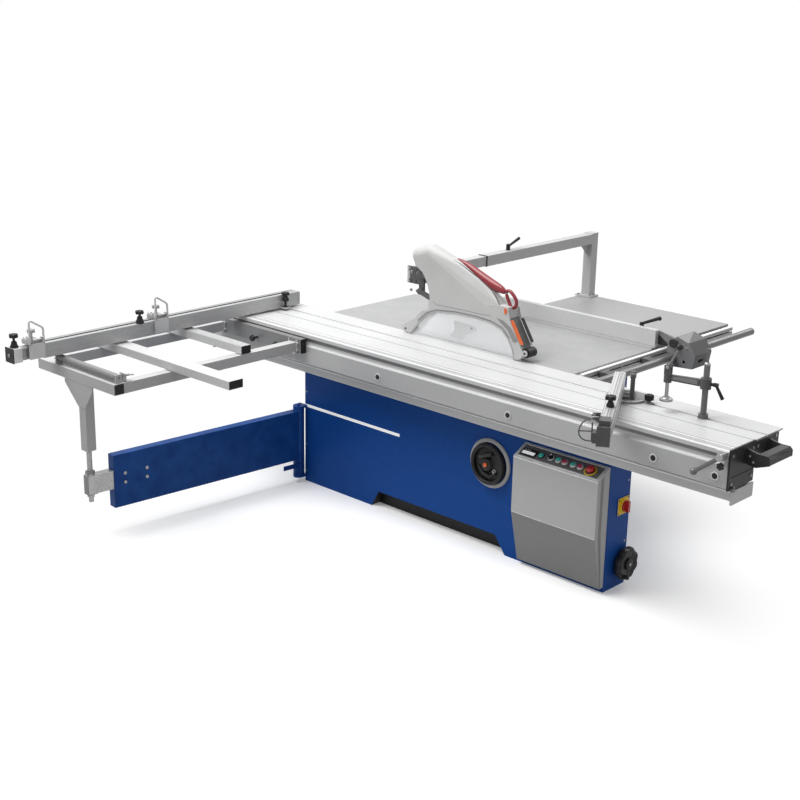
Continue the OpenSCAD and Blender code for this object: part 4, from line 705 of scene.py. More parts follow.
@dataclass
class Cabinet(SubAssembly):
    """The blue steel cabinet with its stripe, recess, doors, switch plate and handwheels."""

    front: float = -268.0
    end: float = 1101.0
    back: float = 560.0
    left: float = -850.0
    stripe: tuple[float, float, float, float] = (-850.0, -161.0, 417.0, 432.0)
    recess: tuple[float, float, float, float] = (-350.0, 536.0, -300.0, 470.0)
    recess_height: float = 88.0
    switch: tuple[float, float] = (-154.0, 388.0)
    tilt_hub: tuple[float, float] = (430.0, 437.0)
    rise_hub: tuple[float, float] = (-139.0, 112.0)

    def add_fittings(self) -> None:
        """Adds the stripe, the painted shade in the recess, the switch plate, the doors and the wheels."""
        x0, x1, z0, z1 = self.stripe
        Mould("cabinet_stripe").box((x0 + 4, self.front - 0.6, z0), (x1, self.front + 0.4, z1)).build(
            WHITE, "machine")
        self.add_recess()
        self.add_switch()
        self.add_doors()
        self.add_tilt_wheel()
        self.add_rise_wheel()

    def add_recess(self) -> None:
        """Paints shade into the toe recess: thin black sheets on its back, sides and top."""
        a0, a1, b0, b1 = self.recess
        y0, y1, h = self.front + 1.5, self.front + 59.5, self.recess_height - 0.8
        recess_shade = Mould("toe_recess_shade")
        recess_shade.prism([(a0 + 1.5, 1), (a1 - 1.5, 1), (b1 - 1.5, h), (b0 + 1.5, h)], Axis.Y, y1 - 1, y1)
        recess_shade.prism([(a0 + 0.8, 1), (a0 + 2.2, 1), (b0 + 2.2, h), (b0 + 0.8, h)], Axis.Y, y0, y1)
        recess_shade.prism([(a1 - 2.2, 1), (a1 - 0.8, 1), (b1 - 0.8, h), (b1 - 2.2, h)], Axis.Y, y0, y1)
        recess_shade.box((b0 + 2, y0, h - 0.8), (b1 - 2, y1, h)).build(BLACK, "machine")

    def add_switch(self) -> None:
        """Adds the yellow plate of the main switch with its collar and screws, and the knob's cap."""
        y, z = self.switch
        plate = Mould("switch_plate_face").holed((y - 46, z - 40), (y + 39, z + 40), (y, z), 26, Axis.X,
                                                 self.end + 3, self.end + 4.2)
        plate.lathe([(25.6, 3), (33, 3), (33, 9), (30, 11), (25.6, 11)], (self.end, y, z), (1, 0, 0), 40,
                    ring=True).build(YELLOW, "machine", 0.6)
        corners = [(self.end + 4, y + dy, z + dz) for dy, dz in ((-38, 32), (32, 32), (-38, -32), (32, -32))]
        Mould("switch_plate_screws").bolts(corners, (1, 0, 0), 3.5, 2).build(BLACK, "machine")
        Mould("switch_knob_cap").lathe([(23.8, 12), (23, 13), (18, 13.4), (0, 13.4)], (self.end + 3.3, y, z),
                                       (1, 0, 0)).build(RED, "switch")

    def add_doors(self) -> None:
        """Adds the doors, hinges, catches, vents and screws of the sides that face away."""
        b, lip = self.back, 1.6
        doors = Mould("rear_doors")
        for x0, x1 in ((-760, -560), (-430, 70), (100, 560)):
            doors.prism([(x0, 60), (x1, 60), (x1, 780), (x0, 780)], Axis.Y, b, b + lip)
        doors.prism([(-60, 90), (500, 90), (500, 600), (-60, 600)], Axis.X, self.left - lip, self.left)
        doors.build(BLUE, "machine", 1.0)
        vents = Mould("door_vents")
        for k in range(9):
            for x0 in (-380, 160):
                vents.box((x0, b + lip - 0.3, 140 + k * 24), (x0 + 340, b + lip + 2.5, 148 + k * 24))
            vents.box((self.left - lip - 2.5, 40, 150 + k * 24), (self.left - lip + 0.3, 400, 158 + k * 24))
        vents.build(DARK_STEEL, "machine", 1.0)
        metal = Mould("door_catches")
        for x in (-575, 50, 540):
            metal.lathe([(16, 0), (16, 3), (9, 4), (9, 12), (7, 13), (0, 13)], (x, b + lip, 440), (0, 1, 0), 32)
        for x in (-752, -422, 108):
            for z in (150, 690):
                metal.rod((x, b + 4, z - 30), (x, b + 4, z + 30), 6)
        metal.build(BLACK, "machine", 0.5)
        bolts = Mould("cabinet_screws")
        for z in (60, 210, 500, 625):
            bolts.bolt((self.end - 0.3, -125, z), (1, 0, 0), 5, 2.4)
            bolts.bolt((self.left + 12, self.front, z), (0, -1, 0), 4.5, 2)
        bolts.bolts([(x, b, 815) for x in (-830, -600, -300, 0, 300, 575)], (0, 1, 0), 6, 3)
        bolts.build(STEEL, "machine")

    def add_tilt_wheel(self) -> None:
        """Adds the dished black wheel with its folded grip in place of the plain one."""
        x, z = self.tilt_hub
        hub, out = (x, self.front, z), (0, -1, 0)
        wheel = Mould("tilt_wheel")
        wheel.lathe([(82, 12), (90, 8), (97, 12), (100, 20), (99, 31), (93, 37), (85, 37), (80, 31), (79, 20)],
                    hub, out, 72, ring=True)
        wheel.lathe([(80, 12), (80, 18), (60, 21), (40, 21), (34, 26), (29, 38), (20, 42), (15, 42), (14, 38)],
                    hub, out, 60)
        wheel.rod((x, self.front + 52, z), (x, self.front - 14, z), 10.5)
        wheel.lathe([(20, -58), (20, -52)], hub, out, 32)
        wheel.sweep([(x - 55, -292, z - 18), (x - 25, -296, z - 48), (x + 18, -297, z - 58),
                     (x + 52, -292, z - 34)], [7, 9, 9, 7])
        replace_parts(wheel.build(BLACK, "tilt_wheel", 0.8, 30), "tilt_handwheel")
        Mould("tilt_wheel_grip").sweep(
            [(x - 47, -300, z + 30), (x - 44, -302, z + 31), (x - 36, -306, z + 34), (x + 20, -306, z + 54),
             (x + 30, -303, z + 57), (x + 33, -300, z + 58)], [2, 8, 10, 10, 8, 2], 20).build(
            DARK_STEEL, "tilt_wheel")
        Mould("tilt_wheel_cap").lathe([(11, 40), (11, 46), (8, 48), (0, 48.5)], hub, out, 24).build(
            ORANGE, "tilt_wheel")
        Mould("tilt_wheel_eye").lathe([(5, 19), (11, 19), (11, 24), (8, 25), (5, 22)],
                                      (x + 38, self.front, z - 28), out, 28, ring=True).build(
            STEEL, "tilt_wheel")
        Mould("tilt_wheel_ring").lathe(
            [(101.5, 2), (101.5, 10), (105, 13.5), (112, 14), (118, 11), (121.5, 5), (121.5, 2)], hub, out, 96,
            ring=True).build(GREY, "machine")

    def add_rise_wheel(self) -> None:
        """Adds the thick lobed wheel of the rise drive in place of the plain one."""
        y, z = self.rise_hub
        hub, out = (self.end, y, z), (1, 0, 0)
        wheel = Mould("rise_wheel")
        wheel.lathe([(40, 6), (66, 7), (75, 12), (78, 20), (78, 34), (74, 41), (66, 45), (44, 41), (24, 36)],
                    hub, out, 96, 8, 0.10)
        wheel.lathe([(26, 34), (26, 46), (22, 48), (0, 48)], hub, out, 32)
        wheel.rod((self.end - 50, y, z), (self.end + 8, y, z), 10.5)
        wheel.lathe([(20, -58), (20, -52)], hub, out, 32)
        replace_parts(wheel.build(BLACK, "rise_wheel", 0.8, 30), "rise_handwheel")
        Mould("rise_wheel_grip").lathe([(7, 40), (9, 48), (10, 58), (9, 68), (5, 71), (0, 71)],
                                       (self.end, y - 38, z - 48), out, 28).build(BLACK, "rise_wheel")
        Mould("rise_wheel_cap").lathe([(7, 47.5), (7, 50), (4, 51), (0, 51)], hub, out, 20).build(
            STEEL, "rise_wheel")


@dataclass
class Console(SubAssembly):
    """The control console with its sloped panel, its display and its buttons."""

    panel: tuple[float, float, float] = (0.0, -311.5, 570.5)
    slope: float = math.atan2(47, 87)
    middle: float = 864.5
    half: tuple[float, float] = (234.5, 49.4)
    buttons: dict[float, str] = field(default_factory=lambda: {
        850.0: "main_start", 886.0: "main_stop", 932.0: "scorer_start", 970.0: "scorer_stop"})
    stop: float = 1026.0
    selector: float = 809.0
    lamp: tuple[float, float] = (757.0, -4.0)
    case: tuple[float, float, float] = (630.0, 1099.0, -355.0)

    def on_panel(self, x: float) -> Matrix:
        """Gives the frame of a place on the panel, Z out of it."""
        return Matrix.Translation((x, self.panel[1], self.panel[2])) @ Matrix.Rotation(self.slope, 4, "X")

    def add_fittings(self) -> None:
        """Adds the panel's rim and screws, the display, the bezels, the caps and the case's folds."""
        base, (w, d) = self.on_panel(self.middle), self.half
        paint("console", ANTHRACITE, (-w, -d, -1), (w, d, 0.6), base, (0, 0, 1))
        paint("console", SILVER, (-w, -d, 0.7), (w, d, 6), base)
        rim = Mould("panel_rim", base)
        for x0, y0, x1, y1 in ((-w + 0.5, -d + 0.8, w - 0.5, -d + 7.5), (-w + 0.5, d - 7.5, w - 0.5, d - 1.5),
                               (-w + 0.5, -d + 7, -w + 8, d - 7), (w - 8, -d + 7, w - 0.5, d - 7)):
            rim.box((x0, y0, 0.1), (x1, y1, 2.2))
        rim.build(SILVER, "machine", 0.6)
        for k, at in enumerate(((-w + 14, -d + 16), (w - 14, -d + 16), (-w + 14, d - 18), (w - 14, d - 18))):
            Mould(f"panel_screw_{k}", base).bolt((*at, 0.2), (0, 0, 1), 3, 1.6).build(BLACK, "machine")
        self.add_display(base)
        rings = Mould("button_bezels")
        for x in (*self.buttons, self.selector):
            rings.place = self.on_panel(x)
            rings.lathe([(11.5, 0.2), (16, 0.2), (16, 3), (14.5, 5), (11.5, 5)], (0, 0, 0), sides=36, ring=True)
        rings.build(SILVER, "machine")
        for x, body in self.buttons.items():
            cap = Mould(f"cap_{body}", self.on_panel(x)).lathe([(10.6, 6.5), (10.8, 8.5), (9.5, 10), (0, 10.4)],
                                                              (0, 0, 0), sides=32)
            cap.build(GREEN if body.endswith("start") else DARK_RED, body)
        Mould("stop_base", self.on_panel(self.stop)).lathe(
            [(25, 0.2), (30, 0.2), (30, 2.0), (28, 2.8), (25, 2.8)], (0, -2, 0), sides=44, ring=True).build(
            YELLOW, "machine")
        Mould("stop_mushroom", self.on_panel(self.stop)).lathe(
            [(14, 18.8), (12, 20.5), (7, 21.5), (0, 21.8)], (0, 0, 0), sides=40).build(RED, "e_stop")
        Mould("selector_mark", self.on_panel(self.selector)).box((-1.2, 2, 17), (1.2, 10, 17.6)).build(
            WHITE, "selector")
        self.add_case()

    def add_display(self, base: Matrix) -> None:
        """Adds the dark frame of the display, its lit window, the lamp and the slot.

        Args:
            base: The frame of the panel's middle.
        """
        m = self.middle
        Mould("display_frame", base).box((650 - m, -28, 0.2), (732 - m, 14, 3)).build(BLACK, "machine", 1.0)
        Mould("display_window", base).box((656 - m, -20, 2.9), (724 - m, -2, 3.6)).build(SCREEN, "machine", 0.5)
        keys = Mould("display_keys", base)
        for k in range(3):
            keys.lathe([(3.5, 2.8), (3.5, 4), (0, 4.4)], (664 - m + k * 12, 6, 0), sides=20)
        keys.build(SILVER, "machine")
        at = (self.lamp[0] - m, self.lamp[1], 0)
        Mould("scale_lamp", base).lathe([(12.5, 0.2), (12.5, 5), (10, 8), (0, 9)], at, sides=32).build(
            GREEN, "machine")
        Mould("lamp_ring", base).lathe([(12.8, 0.2), (16, 0.2), (16, 3), (14, 4.5), (12.8, 4.5)], at,
                                       sides=36, ring=True).build(BLACK, "machine")
        Mould("panel_slot", base).box((1083 - m, -24, 0.2), (1088 - m, 30, 1.0)).build(BLACK, "machine")

    def add_case(self) -> None:
        """Adds the folded lip, the seam between the two front plates and the side step."""
        x0, x1, y = self.case
        Mould("case_seam").box((x0 + 3, y - 0.9, 277.2), (x1 - 3, y + 0.6, 279.6)).build(SILVER, "machine")
        Mould("case_lip").box((x0 + 1, y - 1.0, 541.5), (x1 - 1, y + 1.0, 546.8)).build(SILVER, "machine", 0.5)
        step = Mould("case_side_step")
        step.prism([(-331, 285), (-311, 285), (-311, 562), (-331, 551)], Axis.X, x1, x1 + 0.9)
        step.prism([(-331, 285), (-311, 285), (-289, 30), (-296, 30)], Axis.X, x1, x1 + 0.9)
        step.build(CONSOLE_LOW, "machine")
        paint("console", CONSOLE_LOW, (x0, -358, 20), (x1, -292, 277), None, (0, -0.95, -0.2))


@dataclass
class Tables(SubAssembly):
    """The ground main table, the folded extension table and the guide of the rip fence."""

    marks: int = 130

    def add_fittings(self) -> None:
        """Adds the insert of the blade opening, the scale, the joint line, the screws and the bar's caps."""
        Mould("blade_insert").box((-255, 2.5, TABLE - 4), (352, 20, TABLE - 0.2)).build(CAST, "machine", 0.5)
        for k, x in enumerate((-235, 330)):
            Mould(f"insert_screw_{k}").bolt((x, 11, TABLE - 1.5), (0, 0, 1), 4, 1.2).build(STEEL, "machine")
        scale = Mould("rip_scale")
        for k in range(self.marks):
            y = 40 + k * 10
            scale.box((690, y, TABLE - 9.2), (702 if k % 5 == 0 else 698, y + 0.9, TABLE - 8.6))
        scale.build(BLACK, "machine")
        Mould("rip_scale_tape").box((689, 36, TABLE - 9.4), (704, 1336, TABLE - 8.9)).build(WHITE, "machine")
        Mould("table_joint").box((-260, 626.2, TABLE - 3), (676, 627.4, TABLE + 0.15)).build(
            DARK_STEEL, "machine")
        Mould("table_bolts").bolts(
            [(740, y + dy, 861) for y in (171, 516) for dy in (-14, 14)], (0, 0, 1), 6, 5).bolts(
            [(714, y, 846) for y in (80, 330, 600)], (1, 0, 0), 6, 4).build(STEEL, "machine")
        cap = Mould("rip_bar_cap")
        for y, out in ((38, -1), (1396, 1)):
            cap.lathe([(19, 0), (19.4, 0), (19.4, 5), (16, 8), (0, 8)], (790, y, 848), (0, out, 0), 32)
        cap.build(CAST, "machine")
        paint("rip_rail", CAST_DARK, (720, 100, 800), (790, 560, 870))
        # Painted shade: the faces inside the rail's channel are dark.
        paint("rip_rail", DARK_STEEL, (694, -20, 842), (713.6, 1350, 861))


@dataclass
class Carriage(SubAssembly):
    """The sliding carriage on its base rail, with its end fittings."""

    left: float = -1450.0
    right: float = 1750.0
    front: float = -429.0
    plugs: tuple[float, ...] = (-160.0, 647.0, 1410.0, 1697.0)

    def add_fittings(self) -> None:
        """Adds painted shade and painted highlights on the profile, painted shade in the gap above the rail and
        in the blade slot, the plugs' faces and the end fittings.
        """
        a, b, f, t = self.left, self.right, self.front, TABLE
        # Painted light: the T-slot's inner faces get the bright tone, which hides their shade.
        paint("carriage", PAINTED_HIGHLIGHT, (a, -152.5, 852), (b, -121.5, 874.6))
        # Painted shade: the grooves of the top and the upper, downward part of the side's channel are darker,
        # and the front face gets the darker copy; the channel's lower lip keeps the lighter tone as its lit
        # part.
        paint("carriage", PAINTED_SHADE, (a, f + 10, 873), (b, f + 46, 874.8))
        paint("carriage", SHADED_SIDE, (a, f - 1, 716), (b, f + 0.5, 812), None, (0, -1, 0))
        paint("carriage", PAINTED_SHADE, (a, f + 0.5, 833), (b, f + 17, 853))
        paint("carriage", ANODISED, (a, f + 0.5, 812), (b, f + 14, 822))
        # Painted shade: dark strips along the grooves of the top.
        lines = Mould("top_groove_shade")
        for k in range(4):
            lines.box((a + 1, f + 12.6 + k * 9, t - 0.6), (b - 1, f + 15.2 + k * 9, t + 0.12))
        lines.box((a + 1, f + 58.6, t - 0.8), (b - 1, f + 61.4, t + 0.12))
        lines.box((a + 1, f + 194.9, t - 0.8), (b - 1, f + 197, t + 0.12))
        lines.build(PAINTED_SHADE, "carriage")
        # Painted highlight: bright strips along the top's edges.
        Mould("painted_highlight_edges").box((a + 1, f + 48, t - 0.3), (b - 1, f + 56, t + 0.15)).box(
            (a + 1, f + 2.5, t - 0.3), (b - 1, f + 11, t + 0.15)).build(PAINTED_HIGHLIGHT, "carriage")
        # Painted shade: a black strip fills the gap between the rail and the carriage.
        Mould("rail_gap_shade").box((a, -386.5, 701.4), (b - 2, -384, 716.6)).build(BLACK, "carriage")
        # Painted highlight: a bright strip along the rail's upper front edge.
        Mould("rail_painted_highlight").prism(
            [(-387.4, 690), (-386.4, 695.2), (-381.8, 700.4), (-384, 700.4), (-388, 696)], Axis.X, a, b).build(
            PAINTED_HIGHLIGHT, "machine")
        for k, x in enumerate(self.plugs):
            Mould(f"plug_face_{k}").lathe([(12.5, 3), (12.5, 4), (9, 4.6), (0, 4.6)], (x, f, 760), (0, -1, 0),
                                          32).build(BLACK, "carriage")
            paint("push_handle", SILVER, (x - 20, f - 4, 740), (x + 20, f - 0.5, 780))
        paint("base_rail", CAST_DARK, (b - 2, -400, 640), (b + 2, -200, 705), None, (1, 0, 0))
        Mould("blade_slot_shade").box((-141, 4.4, t - 0.8), (441, 8.6, t + 0.2)).build(BLACK, "machine")
        self.add_end()
        self.add_lock()

    def add_end(self) -> None:
        """Adds the screws and the small catch of the end cap, and the screws of the handle."""
        b, f = self.right + 8, self.front
        spots = ((f + 22, 735), (f + 22, 852), (-258, 735), (-258, 852), (-220, 850), (-80, 862))
        Mould("end_cap_screws").bolts([(b - 0.3, *at) for at in spots], (1, 0, 0), 6, 4).build(
            STEEL, "carriage")
        Mould("end_catch").box((b, f + 20, 702), (b + 12, f + 40, 716)).rod(
            (b + 6, f + 34, 716), (b + 6, f + 34, 726), 5).build(CAST, "carriage", 1.5)
        grip = Mould("handle_screws")
        for y in (-310.2, -126.8):
            for x, z in ((1775, 834), (1792, 812)):
                grip.lathe([(5, 0), (5, 2), (3.5, 2.6), (0, 2.6)], (x, y, z), (0, 1 if y > -200 else -1, 0), 20)
        grip.build(STEEL, "carriage")

    def add_lock(self) -> None:
        """Adds the hub of the lock lever and the black clamp knob below."""
        b, f, out = self.right, self.front, (0, -1, 0)
        Mould("lock_clamp_knob").star((b - 12, f - 29, 819), 17, 16, out).build(BLACK, "carriage")
        Mould("lock_hub").lathe([(15.4, 0), (15.4, 3), (11, 5), (0, 5)], (b - 14, f - 48, 857), out, 32).build(
            STEEL, "carriage_lock")


@dataclass
class Outrigger(SubAssembly):
    """The welded outrigger frame with its bars, its roller and the swing arm."""

    roller: tuple[float, float] = (-1530.0, 857.0)
    hinge: tuple[float, float] = (-862.0, -304.0)
    leg: tuple[float, float] = (-970.0, -1536.0)

    def add_fittings(self) -> None:
        """Adds the end caps, the clamp knobs, the brackets, the roller's core and the arm's fittings."""
        paint("support_bars", BLACK, (-285, -1250, 830), (-283, -1160, 880))
        paint("support_bars", BLACK, (-702, -830, 830), (-700, -760, 880))
        paint("support_bars", GREY, (-1320, -1240, 828), (-690, -760, 836))
        paint("outrigger_frame", BLACK, (-701, -1566, 780), (-690, -1512, 835))
        # Painted shade on the mount's front face.
        paint("outrigger_mount", PAINTED_SHADE, (-1340, -470, 774), (-660, -425, 851), None, (0, -1, 0))
        caps = Mould("mount_end_caps")
        for x in (-671, -1334):
            caps.box((x, -462, 776), (x + 4, -430, 849))
        caps.build(BLACK, "carriage", 1.0)
        knobs = Mould("mount_clamp_knobs")
        for x in (-820, -1000):
            knobs.rod((x, -463, 800), (x, -492, 800), 6)
            knobs.star((x, -490, 800), 18, 18, (0, -1, 0))
        knobs.build(BLACK, "carriage")
        brackets = Mould("mount_brackets")
        for x in (-1315, -750):
            brackets.box((x - 6, -486, 776), (x + 56, -463, 783)).box(
                (x - 6, -470, 776), (x - 1, -463, 845)).box((x + 51, -470, 776), (x + 56, -463, 845))
            for z in (795, 830):
                brackets.bolt((x + 59, -467, z), (1, 0, 0), 5, 4)
        brackets.build(SILVER, "carriage", 0.8)
        self.add_roller()
        self.add_arm()
        # Painted shade: dark strips between the ribs of the bars' tops.
        ribs = Mould("bar_groove_shade")
        for k in range(6):
            ribs.box((-1313, -821 + k * 10.5, TABLE), (-703, -818.5 + k * 10.5, TABLE + 0.3))
        ribs.build(PAINTED_SHADE, "carriage")
        Mould("bar_clamps").bolts([(x, y, TABLE - 40) for x in (-1290, -725) for y in (-1210, -793)],
                                  (0, 0, -1), 6, 5).build(STEEL, "carriage")

    def add_roller(self) -> None:
        """Adds the roller's end discs and the small stop beside it."""
        ends = Mould("roller_hubs")
        for x, out in ((-1180, -1), (-720, 1)):
            ends.lathe([(16.5, -6), (17.3, -6), (17.3, 0), (14, 2.5), (7, 2.5), (6.2, 3.6), (0, 3.6)],
                       (x, *self.roller), (out, 0, 0), 32)
        ends.build(CAST_DARK, "outrigger_wheel")
        stop = Mould("roller_stop").box((-748, -1500, 832), (-704, -1494, 872)).box(
            (-748, -1500, 832), (-704, -1470, 836)).rod((-726, -1500, 858), (-726, -1462, 858), 6)
        stop.rod((-726, -1466, 858), (-690, -1466, 866), 4)
        stop.build(GREY, "carriage", 0.8)

    def add_arm(self) -> None:
        """Adds the bolts, hinge plates and end bracket of the swing arm and its threaded rod with the nut."""
        dx, dy = self.leg[0] - self.hinge[0], self.leg[1] - self.hinge[1]
        length = math.hypot(dx, dy)
        place = swivelled(*self.hinge, 0, math.atan2(dy, dx))
        Mould("arm_bolts", place).bolts([(length - x, 25, z) for x in (172, 292) for z in (256, 302)],
                                        (0, 1, 0), 8, 5).build(STEEL, "arm")
        hinge = Mould("arm_hinge_plates", place)
        for z in (90, 355):
            hinge.box((18, 24.6, z), (120, 27, z + 26))
        hinge.build(BLUE_ARM, "arm", 1.0)
        thread = [(13.5 if k % 2 else 12.2, 340 + k * 3) for k in range(34)]
        Mould("height_screw").lathe(thread, (*self.leg, 0), sides=28).build(STEEL, "arm_slide")
        Mould("height_nut").lathe([(22, 0), (23, 2), (23, 14), (22, 16)], (*self.leg, 330), sides=6).build(
            CAST, "arm_slide")
        Mould("arm_end_bracket", place).box((length - 26, -21.5, 229), (length + 24, 21.5, 233)).box(
            (length + 20, -21.5, 229), (length + 24, 21.5, 322)).build(CAST, "arm_slide", 0.8)


@dataclass
class Crosscut(SubAssembly):
    """The crosscut fence with its telescope, scale and flip stops."""

    left: float = -1200.0
    right: float = -1130.0
    top: float = 955.0
    marks: int = 156
    swivel: tuple[float, float] = (-1110.0, -170.0)
    pin: float = -1120.0

    def add_fittings(self) -> None:
        """Adds the face strips, the scale, the end pieces, the knobs and the stops' screws and arches."""
        l, r, t = self.left, self.right, self.top
        paint("crosscut_fence", BLACK, (r - 0.5, -200, 893), (r + 60, -140, 1000))
        paint("crosscut_fence", BLACK, (-1166, -1122, t - 0.6), (-1118, -1066, 1040))
        paint("fence_extension", BLACK, (-1190, -1800, t - 8), (-1140, -1752, 1040))
        Mould("fence_face_strips").box((r - 2.9, -1640, 905.2), (r - 0.15, -56, 910.8)).box(
            (r - 2.9, -1640, 931.2), (r - 0.15, -56, 936.8)).build(ANODISED_Y, "cross_rule")
        Mould("fence_scale_tape").box((r - 21, -1640, t - 0.3), (r - 4, -62, t + 0.12)).build(
            ANODISED_Y, "cross_rule")
        ticks = Mould("fence_scale_ticks")
        for k in range(self.marks):
            y = -1635 + k * 10
            ticks.box((r - 21, y, t), (r - (10 if k % 5 == 0 else 14), y + 1.0, t + 0.22))
        ticks.build(BLACK, "cross_rule")
        # Painted shade: the stop slot's inner faces are black.
        paint("crosscut_fence", BLACK, (-1172, -1646, t - 8), (-1158, -100, t - 0.2))
        Mould("fence_end_cap").box((l + 1, -52.5, 886), (r - 1, -46, t - 1)).build(
            ANODISED_Y, "cross_rule", 3.0)
        Mould("telescope_end").box((-1200, -1805, 885), (-1130, -1800, 955)).build(
            BLACK, "cross_extension", 1.5)
        Mould("telescope_head").box((-1199, -1801, 886), (-1131, -1756, 954)).build(
            SILVER, "cross_extension", 2.5)
        Mould("telescope_bolt").bolt((-1165, -1804.5, 920), (0, -1, 0), 8, 4).build(STEEL, "cross_extension")
        knobs = ((-1143, -1094, t, 46, "cross_rule"), (-1165, -1777, t - 7.3, 45, "cross_extension"))
        for k, (x, y, foot, height, body) in enumerate(knobs):
            Mould(f"knob_base_{k}").lathe([(20, -0.3), (20, 10), (15, 20), (12, 34), (0, 34)], (x, y, foot),
                                          sides=32).build(BLACK, body)
            Mould(f"knob_star_{k}").star((x, y, t + height), 23, 17).build(BLACK, body)
        Mould("swivel_knob").lathe(
            [(8, 0), (18, 3), (18.5, 16), (13, 26), (9, 36), (0, 36)], (*self.swivel, 922), sides=32).star(
            (*self.swivel, 956), 23, 17).build(BLACK, "cross_rule")
        paint("crosscut_fence", FENCE_TOP, (l - 1, -1650, t - 1), (r + 1, -50, t + 0.5), None, (0, 0, 1))
        for k, (y, body) in enumerate(((-1686, "stop_1"), (-980, "stop_2"))):
            screw = Mould(f"stop_screw_{k}").rod((-1190, y, t + 13), (-1215, y, t + 13), 6)
            screw.lathe([(11, 0), (13, 3), (13, 12), (10, 15), (0, 15)], (-1208, y, t + 13), (-1, 0, 0), 8)
            screw.bolt((-1165, y - 20, t + 22), (0, 0, 1), 5, 4)
            screw.build(STEEL, body)
            self.add_arch(k + 1, y)

    def add_arch(self, number: int, y: float) -> None:
        """Adds one squared flip arch with its slanted top, plate and pin.

        Args:
            number: The number of the stop.
            y: Where the stop stands.
        """
        t, x = self.top, self.pin
        bow = ((-36.5, 4), (-36.5, 110), (-33, 117), (-24, 117), (28, 84), (35, 76), (36.5, 66), (36.5, 4))
        arch = Mould(f"flip_arch_{number}_frame").band(
            [(y + u, t + v) for u, v in bow], 9, Axis.X, x - 3, x + 3).box(
            (x - 3, y - 41, t - 62), (x + 3, y + 41, t + 10)).rod((x, y - 38, t + 29), (x, y + 38, t + 29), 4)
        for side in (y - 41, y + 28):
            arch.box((x - 4, side, t + 22), (x + 4, side + 13, t + 36))
        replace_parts(arch.build(ARCH, f"arch_{number}", 1.0), f"flip_arch_{number}")


@dataclass
class Miter(SubAssembly):
    """The swivelling miter gauge on the carriage."""

    pivot: tuple[float, float] = (1070.0, -137.0)
    turn: float = math.radians(30.5)
    dial: tuple[float, float, float] = (89.0, 80.0, 76.0)
    tick_half: float = 0.6
    tape_marks: int = 77

    def add_fittings(self) -> None:
        """Adds the scales, the grooves' shade, the knobs, the post and the flip loop."""
        place = swivelled(*self.pivot, 0, self.turn)
        ticks, w = Mould("protractor_ticks"), self.tick_half
        for k in range(-16, 17):
            ticks.place = swivelled(*self.pivot, 0, math.radians(-90 + k * 5))
            ticks.box((self.dial[1 if k % 2 else 2], -w, 884), (self.dial[0], w, 884.45))
        ticks.build(WHITE, "miter_slider")
        Mould("miter_clamp_knob").star((1182, -137, 898), 21, 18).build(BLACK, "miter_slider")
        paint("miter_base", BLACK, (1160, -162, 886), (1210, -112, 912))
        paint("miter_fence", BLACK, (-70, -455, 961), (-15, -405, 1020), place)
        paint("miter_fence", CAST_DARK, (-17.5, -60, 880), (60, 60, 1010), place)
        # Painted shade in the fence's side groove.
        paint("miter_fence", PAINTED_SHADE, (-23, -710, 913), (-18.2, 100, 926), place)
        paint("miter_fence", CAST_DARK, (-80, -700, 962.2), (-10, -620, 1020), place)
        Mould("miter_scale_tape", place).box((-38, -690, 962.2), (-24, 88, 963)).build(ANODISED_Y, "miter_rule")
        marks = Mould("miter_scale_ticks", place)
        for k in range(self.tape_marks):
            y = -685 + k * 10
            marks.box((-38, y, 962.8), (-27 if k % 5 == 0 else -31, y + 1, 963.3))
        marks.build(BLACK, "miter_rule")
        Mould("miter_stop_knob", place).star((-42, -430, 992), 25, 18).lathe(
            [(7, 0), (16, 1), (17, 8), (12, 20), (8, 29)], (-42, -430, 962.4), sides=32).build(
            BLACK, "miter_rule")
        # Painted shade: dark strips in the grooves of the top.
        grooves = Mould("miter_groove_shade", place)
        for x, w in ((-58, 1.6), (-46, 4.0), (-21.4, 1.6)):
            grooves.box((x, -698, 962.2), (x + w, 88, 962.9))
        grooves.build(PAINTED_SHADE, "miter_rule")
        paint("miter_fence", CAST_DARK, (-80, -715, 880), (-10, -703, 970), place)
        self.add_loop(place)
        Mould("miter_post", place).rod((22, -20, 892), (22, -20, 985), 7).lathe(
            [(11, 0), (13, 3), (13, 16), (10, 19), (0, 19)], (22, -20, 985), sides=8).build(
            CAST_DARK, "miter_rule")

    def add_loop(self, place: Matrix) -> None:
        """Adds the D-shaped stop loop that hangs from the pin at the fence's outer end.

        Args:
            place: The frame of the miter fence.
        """
        bow = [(-91, 982), (-104, 981), (-118, 973), (-130, 960), (-139, 943), (-143, 924), (-140, 908),
               (-130, 896), (-116, 889), (-103, 888), (-91, 888)]
        loop = Mould("miter_stop_loop", place).sweep([(u, -660, z) for u, z in bow], [2.8] * len(bow), 12)
        loop.rod((-91, -660, 886), (-91, -660, 990), 3.0).rod((-142, -660, 926), (-91, -660, 929), 2.6)
        loop.rod((-87, -698, 991.6), (-87, -622, 991.6), 4.0)
        loop.box((-96, -668, 980), (-80, -652, 998)).box((-88, -690, 889), (-67.5, -640, 932))
        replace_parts(loop.build(CAST_DARK, "miter_stop", 0.6), "miter_flap")


